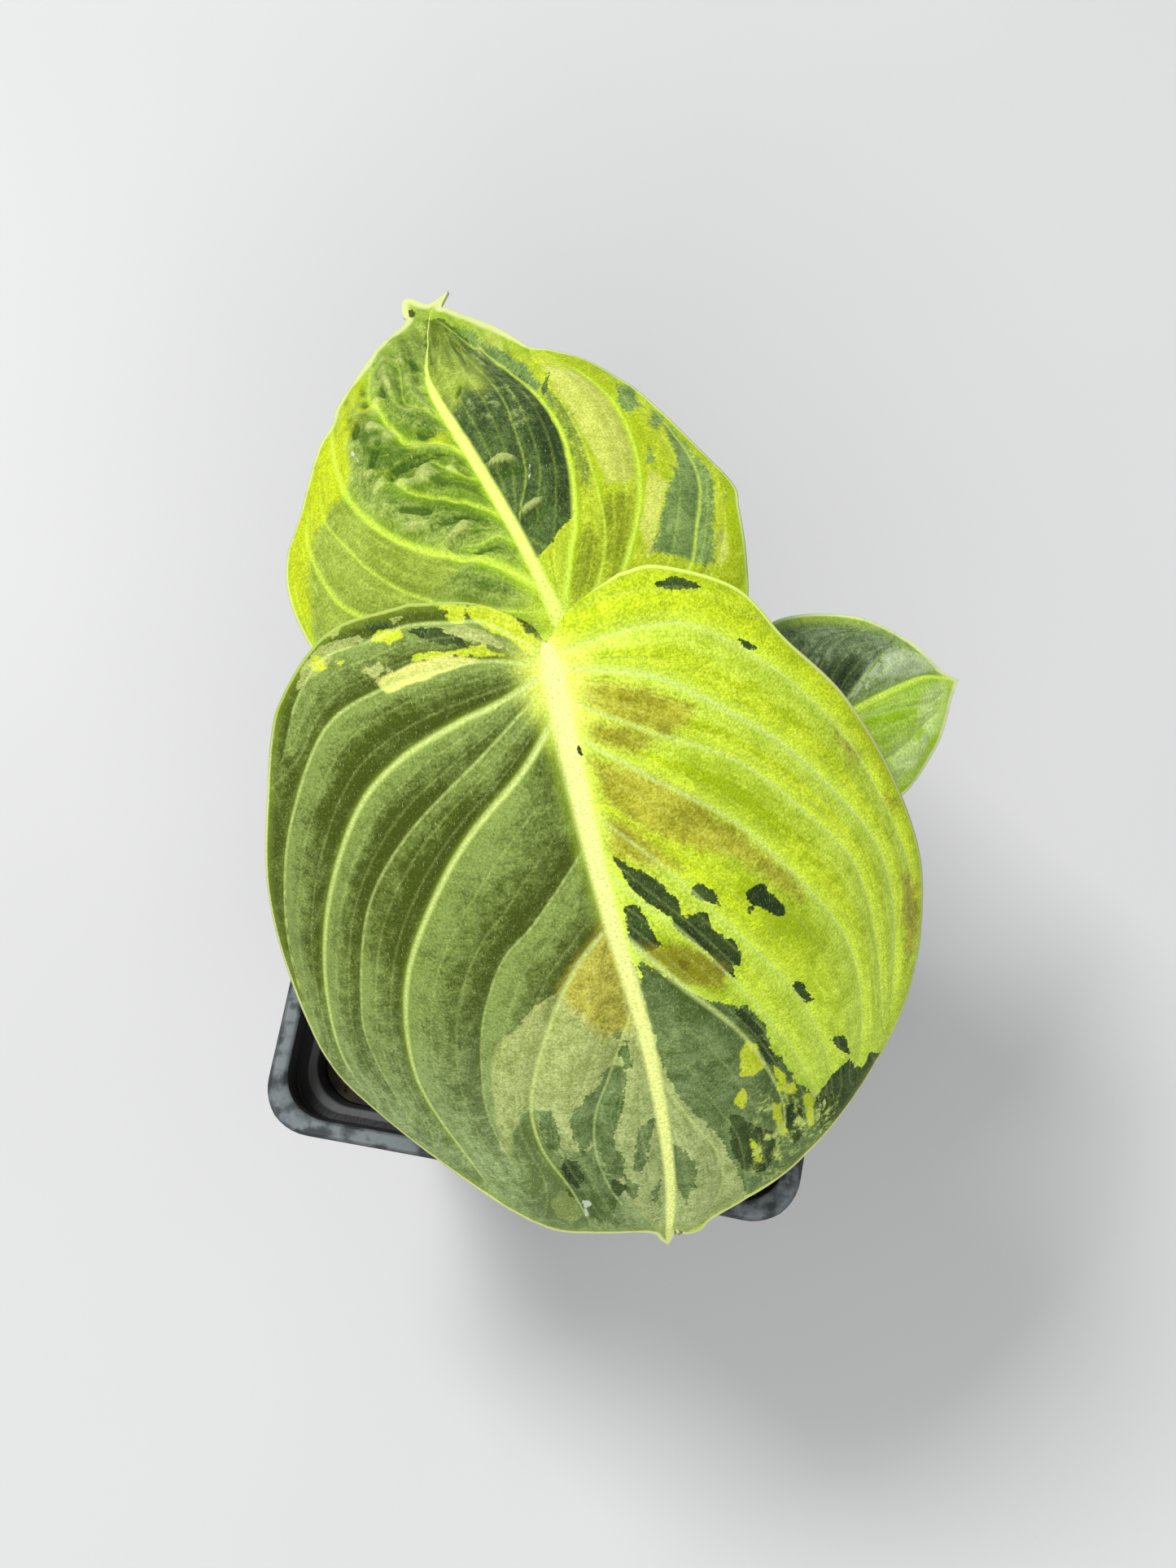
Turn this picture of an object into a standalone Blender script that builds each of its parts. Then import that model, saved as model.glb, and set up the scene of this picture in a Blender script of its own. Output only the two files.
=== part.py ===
"""A young philodendron melanochrysum, rooted in a square black nursery pot.

Metres, +Z up. The origin is the middle of the pot's base, and the pot's sides lie along X and Y.
Leaf outlines and veins are drawn on the flat leaf in millimetres: x runs across it, y runs along the
midrib from the stalk to the tip.
"""

import math

import bmesh
import bpy
import numpy as np
from mathutils import Vector, noise

MM = 0.001
GAP = 0.3 * MM

# Pot: 90 mm square at the rim and 90 mm tall, the common small nursery size
RIM_HALF = 45 * MM
POT_HEIGHT = 90 * MM
BASE_HALF = 30 * MM
RIM_CORNER = 8 * MM
BASE_CORNER = 7 * MM
WALL = 1.1 * MM
FLOOR = 1.8 * MM
LIP_WIDTH = 2.6 * MM
LIP_HEIGHT = 3 * MM
COLLAR_HEIGHT = 11 * MM
COLLAR_STEP = 2.6 * MM
SIDE_BOW = 0.4 * MM
DRAIN_RADIUS = 3.5 * MM
DRAIN_PLACE = 19 * MM
CORNER_STEPS = 6
SIDE_STEPS = 4

# Growing mix, filled to under the stacking step
SOIL_TOP = 74 * MM
SOIL_BUMP = 2.8 * MM
SOIL_RINGS = 10
SOIL_GRAIN = 9 * MM

# Stem: stands in a plain hole in the mix, and the newest leaf's stalk grows from its top
STEM_FOOT = Vector((0.0, 4.5, 50)) * MM
STEM_TOP = Vector((-0.5, 5.0, 97)) * MM
STEM_RADIUS = 4.2 * MM
STEM_NODES = (0.72, 0.86)
STALK_RADIUS = 2.0 * MM
STALK_TAPER = 0.8
SHEATH_RADIUS = 2.3 * MM

# Blades: thin leaf tissue, thicker along the midrib's keel underneath
BLADE = 0.8 * MM
KEEL = 2.0 * MM
KEEL_WIDTH = 2.2
MIDRIB_GROOVE = 0.7
VEIN_GROOVE = 0.55
GROOVE_WIDTH = 1.9

# Each leaf: where its blade meets the stalk, the way it points (degrees from -Y towards +X), the
# slope of its midrib at some lengths along it, its roll, and how far each half droops at its edge
FRONT = {
    "attach": Vector((-7.5, 21.9, 172)) * MM,
    "heading": 23,
    "slopes": ((-20, 0), (0, 22), (106, 60)),
    "roll": 0,
    "half": 50,
    "droop": (45, 40),
    "wave": 0.9,
    "back_rows": 10,
    "size": (14, 34),
    "pucker": 0,
    "crease": 0,
    "sinus": (0.5, -3.5),
    "midrib": ((0.7, 16), (1.6, 36), (3.6, 62), (3.4, 89), (1.4, 108)),
    "left": (
        (-1.5, -7), (-8, -11), (-17, -13), (-30, -11.5), (-40.5, -1), (-47, 15), (-51.5, 31),
        (-52, 47), (-48, 65), (-40, 76), (-28, 87), (-17, 98.5), (-6, 101.5), (1.4, 108),
    ),
    "right": (
        (4.5, -7.6), (12, -11), (18, -11), (28.6, -5.6), (35, 4), (44, 16), (52, 34),
        (56, 53), (54.5, 68), (47, 80), (37, 92), (25, 98), (12, 102.5), (5, 106), (1.4, 108),
    ),
    "veins": (
        ((-1, -1), (-14, -3), (-33, 3), (-45, 23), (-51, 40)),
        ((-3, 1), (-19, 7), (-35, 23), (-44, 46), (-42, 71)),
        ((-4, 7), (-24, 19), (-35, 37), (-38, 66)),
        ((0, 9), (-15, 21), (-29, 43), (-30, 77), (-22, 91)),
        ((0, 27), (-15, 42), (-21, 58), (-22, 80)),
        ((2, 38), (-9, 53), (-15, 72), (-9, 99)),
        ((2, -2), (15, -3), (34, 10), (49, 36), (52, 61)),
        ((3, 1), (17, 6), (37, 27), (48, 59), (44, 80)),
        ((1, 8), (20, 19), (37, 42), (43, 66), (40, 86)),
        ((2, 14), (21, 29), (37, 58), (37, 82)),
        ((2, 25), (18, 47), (28, 69), (28, 88)),
        ((3, 43), (16, 61), (23, 79), (21, 96)),
    ),
}
BACK = {
    "attach": Vector((-6.9, 30.3, 160)) * MM,
    "heading": 214,
    "slopes": ((-20, 0), (0, 8), (66, 48), (76, 46), (90, 0)),
    "roll": 0,
    "half": 40,
    "droop": (38, 36),
    "wave": 0.8,
    "back_rows": 9,
    "size": (12, 28),
    "pucker": 1.1,
    "crease": 2.2,
    "sinus": (0, -3.5),
    "midrib": ((0, 14), (1, 33), (1.9, 52), (0.5, 63), (-2.5, 75), (-4.8, 80.5), (-8.7, 83.4)),
    "left": (
        (-3.5, -7), (-8, -13), (-14, -15), (-22, -12), (-27.5, -4), (-31, 4), (-33.5, 12),
        (-34.8, 18), (-31.3, 30.5), (-26, 43.5), (-22.8, 52), (-18.5, 56), (-15, 58.5),
        (-11.5, 71), (-7.5, 79), (-6.4, 80.5), (-8.7, 83.4),
    ),
    "right": (
        (4, -7), (8, -13), (13, -15.5), (20, -13), (29, -3), (34, 10), (36.4, 27),
        (34, 38), (28, 47), (18.5, 59), (16, 65), (8, 73), (-0.2, 80), (-1, 83.5),
        (-3.2, 82.8), (-5, 82), (-8.7, 83.4),
    ),
    "veins": (
        ((-1, 2), (-7, 13), (-13, 34), (-12, 55), (-5, 76)),
        ((-2, 0), (-18, 15), (-22, 33), (-18, 52)),
        ((-3, -1), (-22, 4), (-29, 18), (-29, 32)),
        ((1, 5), (14, 24), (21, 44), (17, 60)),
        ((1, 2), (17, 16), (26, 36), (24, 50)),
        ((2, 0), (18, 8), (30, 28), (28, 45)),
    ),
}
SIDE = {
    "attach": Vector((29.7, 29.7, 118)) * MM,
    "heading": 122,
    "slopes": ((-10, 0), (0, 12), (34, 44)),
    "roll": 14,
    "half": 18,
    "droop": (34, 34),
    "wave": 0.3,
    "back_rows": 6,
    "size": (8, 18),
    "pucker": 0,
    "crease": 0,
    "sinus": (0.3, -1.5),
    "midrib": ((1.2, 8), (2.4, 15), (3.6, 23), (4, 29), (2.5, 36.5)),
    "left": (
        (-1, -3.5), (-4, -6.5), (-8, -7), (-13, -3), (-16, 4), (-16.5, 12),
        (-14, 20), (-9.3, 26.3), (-3.5, 31), (2.5, 36.5),
    ),
    "right": (
        (2, -4), (5, -7), (10, -7), (16, -3), (20, 4), (20.3, 10),
        (17.5, 19), (11.5, 27), (5.5, 32), (2.5, 36.5),
    ),
    "veins": (
        ((0.5, 2), (-6, 8), (-9, 16), (-7, 25)),
        ((0.5, 2), (6, 8), (10, 18), (8, 27)),
    ),
}


def clear_scene():
    for obj in list(bpy.data.objects):
        bpy.data.objects.remove(obj, do_unlink=True)


def new_collection(name):
    collection = bpy.data.collections.new(name)
    bpy.context.scene.collection.children.link(collection)
    return collection


def material(name, colour, roughness):
    made = bpy.data.materials.new(name)
    made.use_nodes = True
    shader = made.node_tree.nodes["Principled BSDF"]
    shader.inputs["Base Color"].default_value = (*colour, 1.0)
    shader.inputs["Roughness"].default_value = roughness
    shader.inputs["Metallic"].default_value = 0.0
    return made


def mesh_object(name, bm, made_of, collection):
    mesh = bpy.data.meshes.new(name)
    bm.to_mesh(mesh)
    bm.free()
    mesh.materials.append(made_of)
    obj = bpy.data.objects.new(name, mesh)
    collection.objects.link(obj)
    return obj


def smooth_line(points, count):
    """A smooth curve through the points, cut into points at even spaces along it."""
    p = np.array([tuple(q) for q in points], float)
    p = np.vstack([2 * p[0] - p[1], p, 2 * p[-1] - p[-2]])
    t = np.linspace(0, 1, 24, endpoint=False)[:, None]
    runs = []
    for a, b, c, d in zip(p, p[1:], p[2:], p[3:]):
        bend = 2 * b + (c - a) * t + (2 * a - 5 * b + 4 * c - d) * t**2
        runs.append((bend + (3 * b - a - 3 * c + d) * t**3) / 2)
    line = np.vstack([*runs, p[-2:-1]])
    length = np.concatenate([[0], np.cumsum(np.linalg.norm(np.diff(line, axis=0), axis=1))])
    at = np.linspace(0, length[-1], count)
    return np.stack([np.interp(at, length, column) for column in line.T], axis=1)


# The pot and the mix are lofts of rounded squares


def rounded_square(half, corner, z, bow=0.0):
    """Points round a square with rounded corners, its sides bowed in a little at the middle."""
    points = []
    straight = half - corner
    for quarter in range(4):
        turn = quarter * math.pi / 2
        for step in range(CORNER_STEPS + 1):
            angle = step / CORNER_STEPS * math.pi / 2
            points.append((turn, straight + corner * math.cos(angle), straight + corner * math.sin(angle)))
        for step in range(1, SIDE_STEPS):
            along = straight * (1 - 2 * step / SIDE_STEPS)
            inwards = bow * (1 - (along / straight) ** 2)
            points.append((turn, along, half - inwards))
    return [
        Vector((x * math.cos(turn) - y * math.sin(turn), x * math.sin(turn) + y * math.cos(turn), z))
        for turn, x, y in points
    ]


def loft(rings):
    """Closed rings joined one to the next, with the first and the last closed by a fan."""
    bm = bmesh.new()
    rows = [[bm.verts.new(point) for point in ring] for ring in rings]
    for lower, upper in zip(rows, rows[1:]):
        for i, start in enumerate(lower):
            following = (i + 1) % len(lower)
            bm.faces.new((start, lower[following], upper[following], upper[i]))
    for row in (rows[0], rows[-1]):
        middle = bm.verts.new(sum((v.co for v in row), Vector()) / len(row))
        for i, start in enumerate(row):
            bm.faces.new((start, row[(i + 1) % len(row)], middle))
    bmesh.ops.recalc_face_normals(bm, faces=bm.faces)
    bmesh.ops.triangulate(bm, faces=bm.faces)
    return bm


def inner_wall(z):
    """Half width and corner radius of the pot's inside, under the stacking step."""
    share = z / (POT_HEIGHT - COLLAR_HEIGHT)
    outer = BASE_HALF + (RIM_HALF - LIP_WIDTH - COLLAR_STEP - BASE_HALF) * share
    return outer - WALL, BASE_CORNER - WALL


def pot(parts, cutters, made_of):
    step = POT_HEIGHT - COLLAR_HEIGHT
    collar = RIM_HALF - LIP_WIDTH + WALL
    lower = collar - WALL - COLLAR_STEP
    edge = 0.4 * MM
    corner = RIM_CORNER
    profile = (
        (BASE_HALF - 1 * MM, BASE_CORNER - 1 * MM, 0),
        (BASE_HALF, BASE_CORNER, 1.2 * MM),
        (lower, BASE_CORNER, step - 2 * MM),
        (lower + edge, corner - 3 * MM, step - 1.6 * MM),
        (collar - edge, corner - 1.5 * MM, step - 1.6 * MM),
        (collar - edge / 2, corner - 1.5 * MM, step - 1.2 * MM),
        (collar, corner - 1.2 * MM, POT_HEIGHT - LIP_HEIGHT),
        (RIM_HALF - edge, corner - edge, POT_HEIGHT - LIP_HEIGHT),
        (RIM_HALF, corner, POT_HEIGHT - LIP_HEIGHT + edge),
        (RIM_HALF, corner, POT_HEIGHT - 2 * edge),
        (RIM_HALF - 2 * edge, corner - edge, POT_HEIGHT),
        (RIM_HALF - LIP_WIDTH, corner - 2 * MM, POT_HEIGHT),
        (RIM_HALF - LIP_WIDTH - edge, corner - 2.4 * MM, POT_HEIGHT - edge),
        (collar - WALL - edge, corner - 2.6 * MM, step + edge),
        (collar - WALL - 2 * edge, corner - 2.8 * MM, step),
        (inner_wall(step)[0] + edge, inner_wall(step)[1], step),
        (inner_wall(step)[0], inner_wall(step)[1], step - edge),
        (inner_wall(FLOOR)[0], inner_wall(FLOOR)[1], FLOOR),
    )
    rings = [rounded_square(half, r, z, SIDE_BOW * z / POT_HEIGHT) for half, r, z in profile]
    obj = mesh_object("pot", loft(rings), made_of, parts)
    for x in (-DRAIN_PLACE, DRAIN_PLACE):
        for y in (-DRAIN_PLACE, DRAIN_PLACE):
            bm = bmesh.new()
            bmesh.ops.create_cone(
                bm, cap_ends=True, segments=16, radius1=DRAIN_RADIUS, radius2=DRAIN_RADIUS, depth=3 * FLOOR
            )
            bmesh.ops.translate(bm, verts=bm.verts, vec=(x, y, FLOOR / 2))
            cut(obj, mesh_object("drain", bm, made_of, cutters))
    return obj


def cut(obj, cutter):
    cutter.hide_render = True
    cutter.display_type = "WIRE"
    modifier = obj.modifiers.new(cutter.name, "BOOLEAN")
    modifier.operation = "DIFFERENCE"
    modifier.object = cutter


def soil(parts, cutters, made_of):
    bottom = FLOOR + GAP
    side = []
    for z in (bottom, 40 * MM, SOIL_TOP):
        half, corner = inner_wall(z)
        side.append(rounded_square(half - GAP, corner - GAP, z, SIDE_BOW * z / POT_HEIGHT))
    top = []
    for ring in range(1, SOIL_RINGS):
        inwards = 1 - ring / SOIL_RINGS
        top.append([Vector((p.x * inwards, p.y * inwards, SOIL_TOP + crumb(p * inwards))) for p in side[-1]])
    obj = mesh_object("soil", loft(side + top), made_of, parts)
    hole = tube("stem_hole", stem_points(), [STEM_RADIUS + GAP] * 12, made_of, cutters, extend=GAP)
    cut(obj, as_mesh(hole))
    return obj


def crumb(point):
    """How far the mix's lumpy top stands above or below its level there."""
    return SOIL_BUMP * (noise.noise(point / SOIL_GRAIN) - 0.3)


# The stem, the stalks and the sheath are tapered tubes


def tube(name, points, radii, made_of, collection, extend=0.0):
    """A tube along the points, its first end moved back by extend."""
    route = [Vector(p) for p in points]
    route[0] = route[0] - (route[1] - route[0]).normalized() * extend
    curve = bpy.data.curves.new(name, "CURVE")
    curve.dimensions = "3D"
    curve.bevel_depth = 1 * MM
    curve.bevel_resolution = 3
    curve.use_fill_caps = True
    spline = curve.splines.new("POLY")
    spline.points.add(len(route) - 1)
    for target, point, radius in zip(spline.points, route, radii):
        target.co = (*point, 1.0)
        target.radius = radius / MM
    curve.materials.append(made_of)
    obj = bpy.data.objects.new(name, curve)
    collection.objects.link(obj)
    return obj


def as_mesh(obj):
    """The curve's mesh in a new object of the same name, its caps welded."""
    name = obj.name
    depsgraph = bpy.context.evaluated_depsgraph_get()
    mesh = bpy.data.meshes.new_from_object(obj.evaluated_get(depsgraph))
    bm = bmesh.new()
    bm.from_mesh(mesh)
    bmesh.ops.remove_doubles(bm, verts=bm.verts, dist=0.001 * MM)
    bm.to_mesh(mesh)
    bm.free()
    made = bpy.data.objects.new(name + "_mesh", mesh)
    made.matrix_world = obj.matrix_world
    obj.users_collection[0].objects.link(made)
    bpy.data.objects.remove(obj, do_unlink=True)
    made.name = name
    return made


def stem_points():
    return smooth_line((STEM_FOOT, (STEM_FOOT + STEM_TOP) / 2 + Vector((0.4, 0, 0)) * MM, STEM_TOP), 12)


def stem_radii():
    """The stem swells at its leaf nodes and narrows to its top."""
    radii = []
    for share in np.linspace(0, 1, 12):
        swell = sum(math.exp(-(((share - node) / 0.05) ** 2)) for node in STEM_NODES)
        radii.append(STEM_RADIUS * (0.86 - 0.16 * share + 0.12 * swell))
    return radii


def stalk_foot(share, side):
    """A point on the stem's flank, sunk into it, and the way out of it."""
    on_axis = STEM_FOOT.lerp(STEM_TOP, share)
    outwards = Vector((math.sin(math.radians(side)), -math.cos(math.radians(side)), 0))
    return on_axis + outwards * 2 * MM, outwards


def stalk_routes(blades):
    """Each stalk runs from the stem to just under the place where its blade begins."""
    ends = {name: blades[name].under(0, 0.5) for name in blades}
    back_foot, back_out = stalk_foot(0.78, 205)
    side_foot, side_out = stalk_foot(0.64, 110)
    return {
        "front": (
            STEM_TOP + Vector((0, 0, GAP)),
            Vector((0, 6, 110)) * MM,
            Vector((1, 10.5, 130)) * MM,
            Vector((0.5, 16, 146)) * MM,
            Vector((-2, 21, 157)) * MM,
            Vector((-5.5, 23.6, 163)) * MM,
            ends["front"],
        ),
        "back": (
            back_foot,
            back_foot + back_out * 4 * MM + Vector((0, 0, 4)) * MM,
            Vector((-8, 17, 108)) * MM,
            Vector((-10.5, 24.5, 132)) * MM,
            Vector((-8.5, 28.8, 149)) * MM,
            ends["back"],
        ),
        "side": (
            side_foot,
            side_foot + side_out * 4 * MM + Vector((0, 0, 3)) * MM,
            Vector((14, 14, 96)) * MM,
            Vector((22, 22.5, 104.5)) * MM,
            Vector((27.2, 28.6, 110.5)) * MM,
            ends["side"],
        ),
        "sheath": (
            stalk_foot(0.9, 300)[0],
            Vector((-4.6, 2.6, 97.5)) * MM,
            Vector((-6.2, 2.2, 106)) * MM,
            Vector((-6.6, 3.4, 118)) * MM,
        ),
    }


def stalk_radii(count):
    return [STALK_RADIUS * (1 - (1 - STALK_TAPER) * i / (count - 1)) for i in range(count)]


def sheath_radii(count):
    """Round in its lower half and drawn out to a blunt point."""
    return [
        SHEATH_RADIUS * max(0.12, math.sin(math.pi * (0.25 + 0.73 * i / (count - 1))) ** 0.8)
        for i in range(count)
    ]


def stem_and_stalks(parts, cutters, colours, blades):
    stem = as_mesh(tube("stem", stem_points(), stem_radii(), colours["stem"], parts))
    for name, route in stalk_routes(blades).items():
        points = smooth_line(route, 22)
        sheath = name == "sheath"
        radii = sheath_radii(22) if sheath else stalk_radii(22)
        kind = "sheath" if sheath else "petiole"
        label = kind if sheath else f"petiole_{name}"
        tube(label, points, radii, colours[kind], parts)
        if name == "front":
            continue
        wide = [radius + GAP for radius in radii]
        socket = tube(f"socket_{name}", points, wide, colours["stem"], cutters, extend=GAP)
        cut(stem, as_mesh(socket))


# Blades


class Leaf:
    """The curved surface of one leaf, as points for places on the flat leaf in millimetres."""

    def __init__(self, design):
        self.design = design
        heading = math.radians(design["heading"])
        self.forward = np.array([math.sin(heading), -math.cos(heading), 0.0])
        self.sideways = np.array([math.cos(heading), math.sin(heading), 0.0])
        self.up = np.array([0.0, 0.0, 1.0])
        places, degrees = zip(*design["slopes"])
        self.y = np.linspace(places[0], places[-1] + 10, 1200)
        self.slope = np.radians(np.interp(self.y, places, degrees))
        step = self.y[1] - self.y[0]
        run = np.cumsum(np.cos(self.slope)) * step
        drop = np.cumsum(np.sin(self.slope)) * step
        self.run = run - np.interp(0, self.y, run)
        self.drop = drop - np.interp(0, self.y, drop)
        self.midrib = smooth_line((design["sinus"], *design["midrib"]), 120)
        self.veins = [smooth_line(vein, 60) for vein in design["veins"]]

    def relief(self, x, y):
        """Grooves over the midrib and the side veins, and the back leaf's puckers and deep crease."""
        rise = -MIDRIB_GROOVE * np.exp(-((distance(x, y, self.midrib) / GROOVE_WIDTH) ** 2))
        nearest = np.min([distance(x, y, vein) for vein in self.veins], axis=0)
        rise -= VEIN_GROOVE * np.exp(-((nearest / GROOVE_WIDTH) ** 2))
        towards_tip = np.clip((y - 25) / 35, 0, 1)
        rise -= self.design["crease"] * towards_tip * np.exp(-((distance(x, y, self.veins[0]) / 4) ** 2))
        rumpled = np.exp(-(((x - 11) / 9) ** 2) - ((y - 44) / 17) ** 2)
        return rise + self.design["pucker"] * rumpled * np.sin(0.62 * x + 0.3 * y) * np.cos(0.5 * y - 0.2 * x)

    def point(self, x, y, lift=0.0):
        """Across the leaf it droops as an arc on each side, and along it it follows the slopes."""
        x, y = np.asarray(x, float), np.asarray(y, float)
        left, right = self.design["droop"]
        bend = np.radians(np.where(x < 0, left, right)) / self.design["half"]
        across = np.sin(bend * x) / bend
        rise = 0.1 * abs(x) * np.exp(-abs(x) / 12) - (1 - np.cos(bend * x)) / bend + lift
        roll = math.radians(self.design["roll"])
        across, rise = (
            across * math.cos(roll) - rise * math.sin(roll),
            across * math.sin(roll) + rise * math.cos(roll),
        )
        slope = np.interp(y, self.y, self.slope)[..., None]
        normal = np.sin(slope) * self.forward + np.cos(slope) * self.up
        run = np.interp(y, self.y, self.run)[..., None]
        drop = np.interp(y, self.y, self.drop)[..., None]
        spine = run * self.forward - drop * self.up
        place = spine + across[..., None] * self.sideways + rise[..., None] * normal
        return np.array(self.design["attach"]) + place * MM

    def under(self, x, y):
        """The point just below the keel there."""
        here = self.point(x, y)
        normal = np.cross(self.point(x + 1, y) - here, self.point(x, y + 1) - here)
        normal = normal * np.sign(normal[2]) / np.linalg.norm(normal)
        groove = -float(self.relief(np.array([x]), np.array([y]))[0]) * MM
        return Vector(here - normal * (KEEL + groove + 2.5 * GAP))


def distance(x, y, line):
    """From each place to the line, taken as its points with straight runs between them."""
    place = np.stack([np.ravel(x), np.ravel(y)], axis=1)[:, None, :]
    start, run = line[:-1], np.diff(line, axis=0)
    share = np.clip(((place - start) * run).sum(axis=2) / (run**2).sum(axis=1), 0, 1)
    gap = np.linalg.norm(place - start - share[..., None] * run, axis=2)
    return gap.min(axis=1).reshape(np.shape(x))


def half_blade(bm, leaf, side):
    """A grid from the sinus edge and the midrib out to the margin, drawn to points at both ends."""
    design = leaf.design
    columns, rows = design["size"]
    outline = design[side]
    tip_of_lobe = int(np.argmin([y for _, y in outline]))
    inner_back = smooth_line((*reversed(outline[:tip_of_lobe + 1]), design["sinus"]), design["back_rows"] + 1)
    inner_front = smooth_line((design["sinus"], *design["midrib"]), rows - design["back_rows"] + 1)
    inner = np.vstack([inner_back, inner_front[1:]])
    outer = smooth_line(outline[tip_of_lobe:], rows + 1)
    weights = bm.verts.layers.deform.verify()
    made = bmesh.ops.create_grid(bm, x_segments=columns, y_segments=rows, size=1.0)["verts"]
    across = np.array([(v.co.x + 1) / 2 for v in made])
    row = np.rint([(v.co.y + 1) / 2 * rows for v in made]).astype(int)
    flat = inner[row] + (outer[row] - inner[row]) * across[:, None]
    turns = 4 if side == "left" else 5
    wave = design["wave"] * across**3 * np.sin(2 * math.pi * turns * row / rows) * np.sin(math.pi * row / rows)
    points = leaf.point(flat[:, 0], flat[:, 1], leaf.relief(flat[:, 0], flat[:, 1]) + wave)
    keel = np.exp(-((distance(flat[:, 0], flat[:, 1], leaf.midrib) / KEEL_WIDTH) ** 2))
    for vert, point, weight in zip(made, points, keel):
        vert.co = point
        vert[weights][0] = float(weight)


def blade(name, leaf, made_of, parts):
    bm = bmesh.new()
    half_blade(bm, leaf, "left")
    half_blade(bm, leaf, "right")
    bmesh.ops.remove_doubles(bm, verts=bm.verts, dist=0.01 * MM)
    bmesh.ops.dissolve_degenerate(bm, edges=bm.edges, dist=0.01 * MM)
    bmesh.ops.recalc_face_normals(bm, faces=bm.faces)
    if sum(face.normal.z for face in bm.faces) < 0:
        bmesh.ops.reverse_faces(bm, faces=bm.faces)
    bmesh.ops.triangulate(bm, faces=bm.faces)
    obj = mesh_object(name, bm, made_of, parts)
    obj.vertex_groups.new(name="keel")
    wall = obj.modifiers.new("thickness", "SOLIDIFY")
    wall.thickness = KEEL
    wall.offset = -1.0
    wall.vertex_group = "keel"
    wall.thickness_vertex_group = BLADE / KEEL
    return obj


def main():
    clear_scene()
    parts = new_collection("philodendron_melanochrysum")
    cutters = new_collection("cutters")
    colours = {
        "stem": material("green_cane", (0.16, 0.22, 0.07), 0.5),
        "petiole": material("pale_stalk", (0.33, 0.42, 0.12), 0.45),
        "sheath": material("papery_sheath", (0.62, 0.56, 0.3), 0.6),
    }
    pot(parts, cutters, material("black_plastic", (0.025, 0.026, 0.028), 0.42))
    soil(parts, cutters, material("growing_mix", (0.05, 0.032, 0.02), 0.95))
    leaves = {"front": Leaf(FRONT), "back": Leaf(BACK), "side": Leaf(SIDE)}
    velvet = {
        "front": material("lime_velvet_leaf", (0.38, 0.5, 0.04), 0.5),
        "back": material("mottled_velvet_leaf", (0.2, 0.36, 0.05), 0.5),
        "side": material("young_velvet_leaf", (0.16, 0.32, 0.08), 0.45),
    }
    for name, leaf in leaves.items():
        blade(f"blade_{name}", leaf, velvet[name], parts)
    stem_and_stalks(parts, cutters, colours, leaves)


main()
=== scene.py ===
import math
import random

import bmesh
import bpy
import numpy as np
from mathutils import Matrix, Vector, noise


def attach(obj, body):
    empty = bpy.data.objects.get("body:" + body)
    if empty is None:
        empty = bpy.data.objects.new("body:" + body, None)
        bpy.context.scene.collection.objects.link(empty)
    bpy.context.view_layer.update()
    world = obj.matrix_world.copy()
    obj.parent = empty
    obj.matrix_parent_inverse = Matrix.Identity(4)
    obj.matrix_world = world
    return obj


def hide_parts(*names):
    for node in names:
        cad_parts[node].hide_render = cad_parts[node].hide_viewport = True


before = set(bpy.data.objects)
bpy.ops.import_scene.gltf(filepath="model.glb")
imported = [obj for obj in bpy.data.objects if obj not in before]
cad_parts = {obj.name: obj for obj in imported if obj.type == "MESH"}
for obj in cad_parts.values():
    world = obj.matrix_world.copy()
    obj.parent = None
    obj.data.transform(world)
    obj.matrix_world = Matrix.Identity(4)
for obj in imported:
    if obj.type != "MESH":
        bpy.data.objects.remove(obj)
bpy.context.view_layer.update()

# The pot: a thin-walled nursery pot of black plastic, moulded in one shot. It tapers to its base and has a
# stacking step, an upright collar, a flat rim and four drain holes. Its rim is scuffed grey and dusty, and
# that grey is partly a painted reflection of the sky on the glossy top. Inside, the step is painted shade
# with a painted highlight along its inner edge.
MM = 0.001
BASE_HALF = 30 * MM
BASE_EDGE = 1.2 * MM
BASE_CORNER = 5.5 * MM
STEP_HEIGHT = 79 * MM
SIDE_BOW = 0.4 * MM
POT_HEIGHT = 90 * MM
FLOOR = 1.8 * MM
WALL = 1.4 * MM
STEP_HALF = 39.8 * MM
FOOT_DRAWN_IN = 29 / 30
SOFT_EDGE = 0.22 * MM
SHARP_FROM, SMOOTH_TO = math.radians(35), math.radians(50)
DRAIN_RADIUS = 3.5 * MM
DRAIN_PLACE = 19 * MM
RIM_TOP = (86 * MM, 89.3 * MM)
LEDGE_FOOT, LEDGE_TOP = (76.5 * MM, 78.5 * MM), (81.5 * MM, 80 * MM)
LEDGE_STRAIGHT = 32.7 * MM
LEDGE_BEND = (7.5 * MM, 7.2 * MM)
BLACK, FADED_BLACK = (0.010, 0.0105, 0.0115), (0.028, 0.029, 0.031)
MOULD_STREAK = (0.06, 0.062, 0.064)
# Rim top: scuffed and dusty grey, partly a painted reflection of the sky on the glossy plastic
RIM_BLACK, RIM_DUST_AND_SHEEN = (0.028, 0.033, 0.036), (0.135, 0.156, 0.162)
# The step inside the pot: painted shade, and a painted highlight along its inner edge
LEDGE_PAINTED_SHADE, LEDGE_PAINTED_HIGHLIGHT = (0.004, 0.004, 0.0045), (0.075, 0.076, 0.078)

# Half width and height at each turn of the wall, from the foot up the outside and down the inside
POT_WALL = (
    (39.8, 77), (40.2, 77.4), (43.0, 77.4), (43.3, 77.8), (43.5, 87), (44.6, 87), (45, 87.4), (45, 89.3),
    (44.3, 90), (42.6, 90), (42.0, 89.5), (41.8, 79.5), (41.4, 79), (39.1, 79), (38.7, 78.6), (29.1, 1.8),
)


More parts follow.
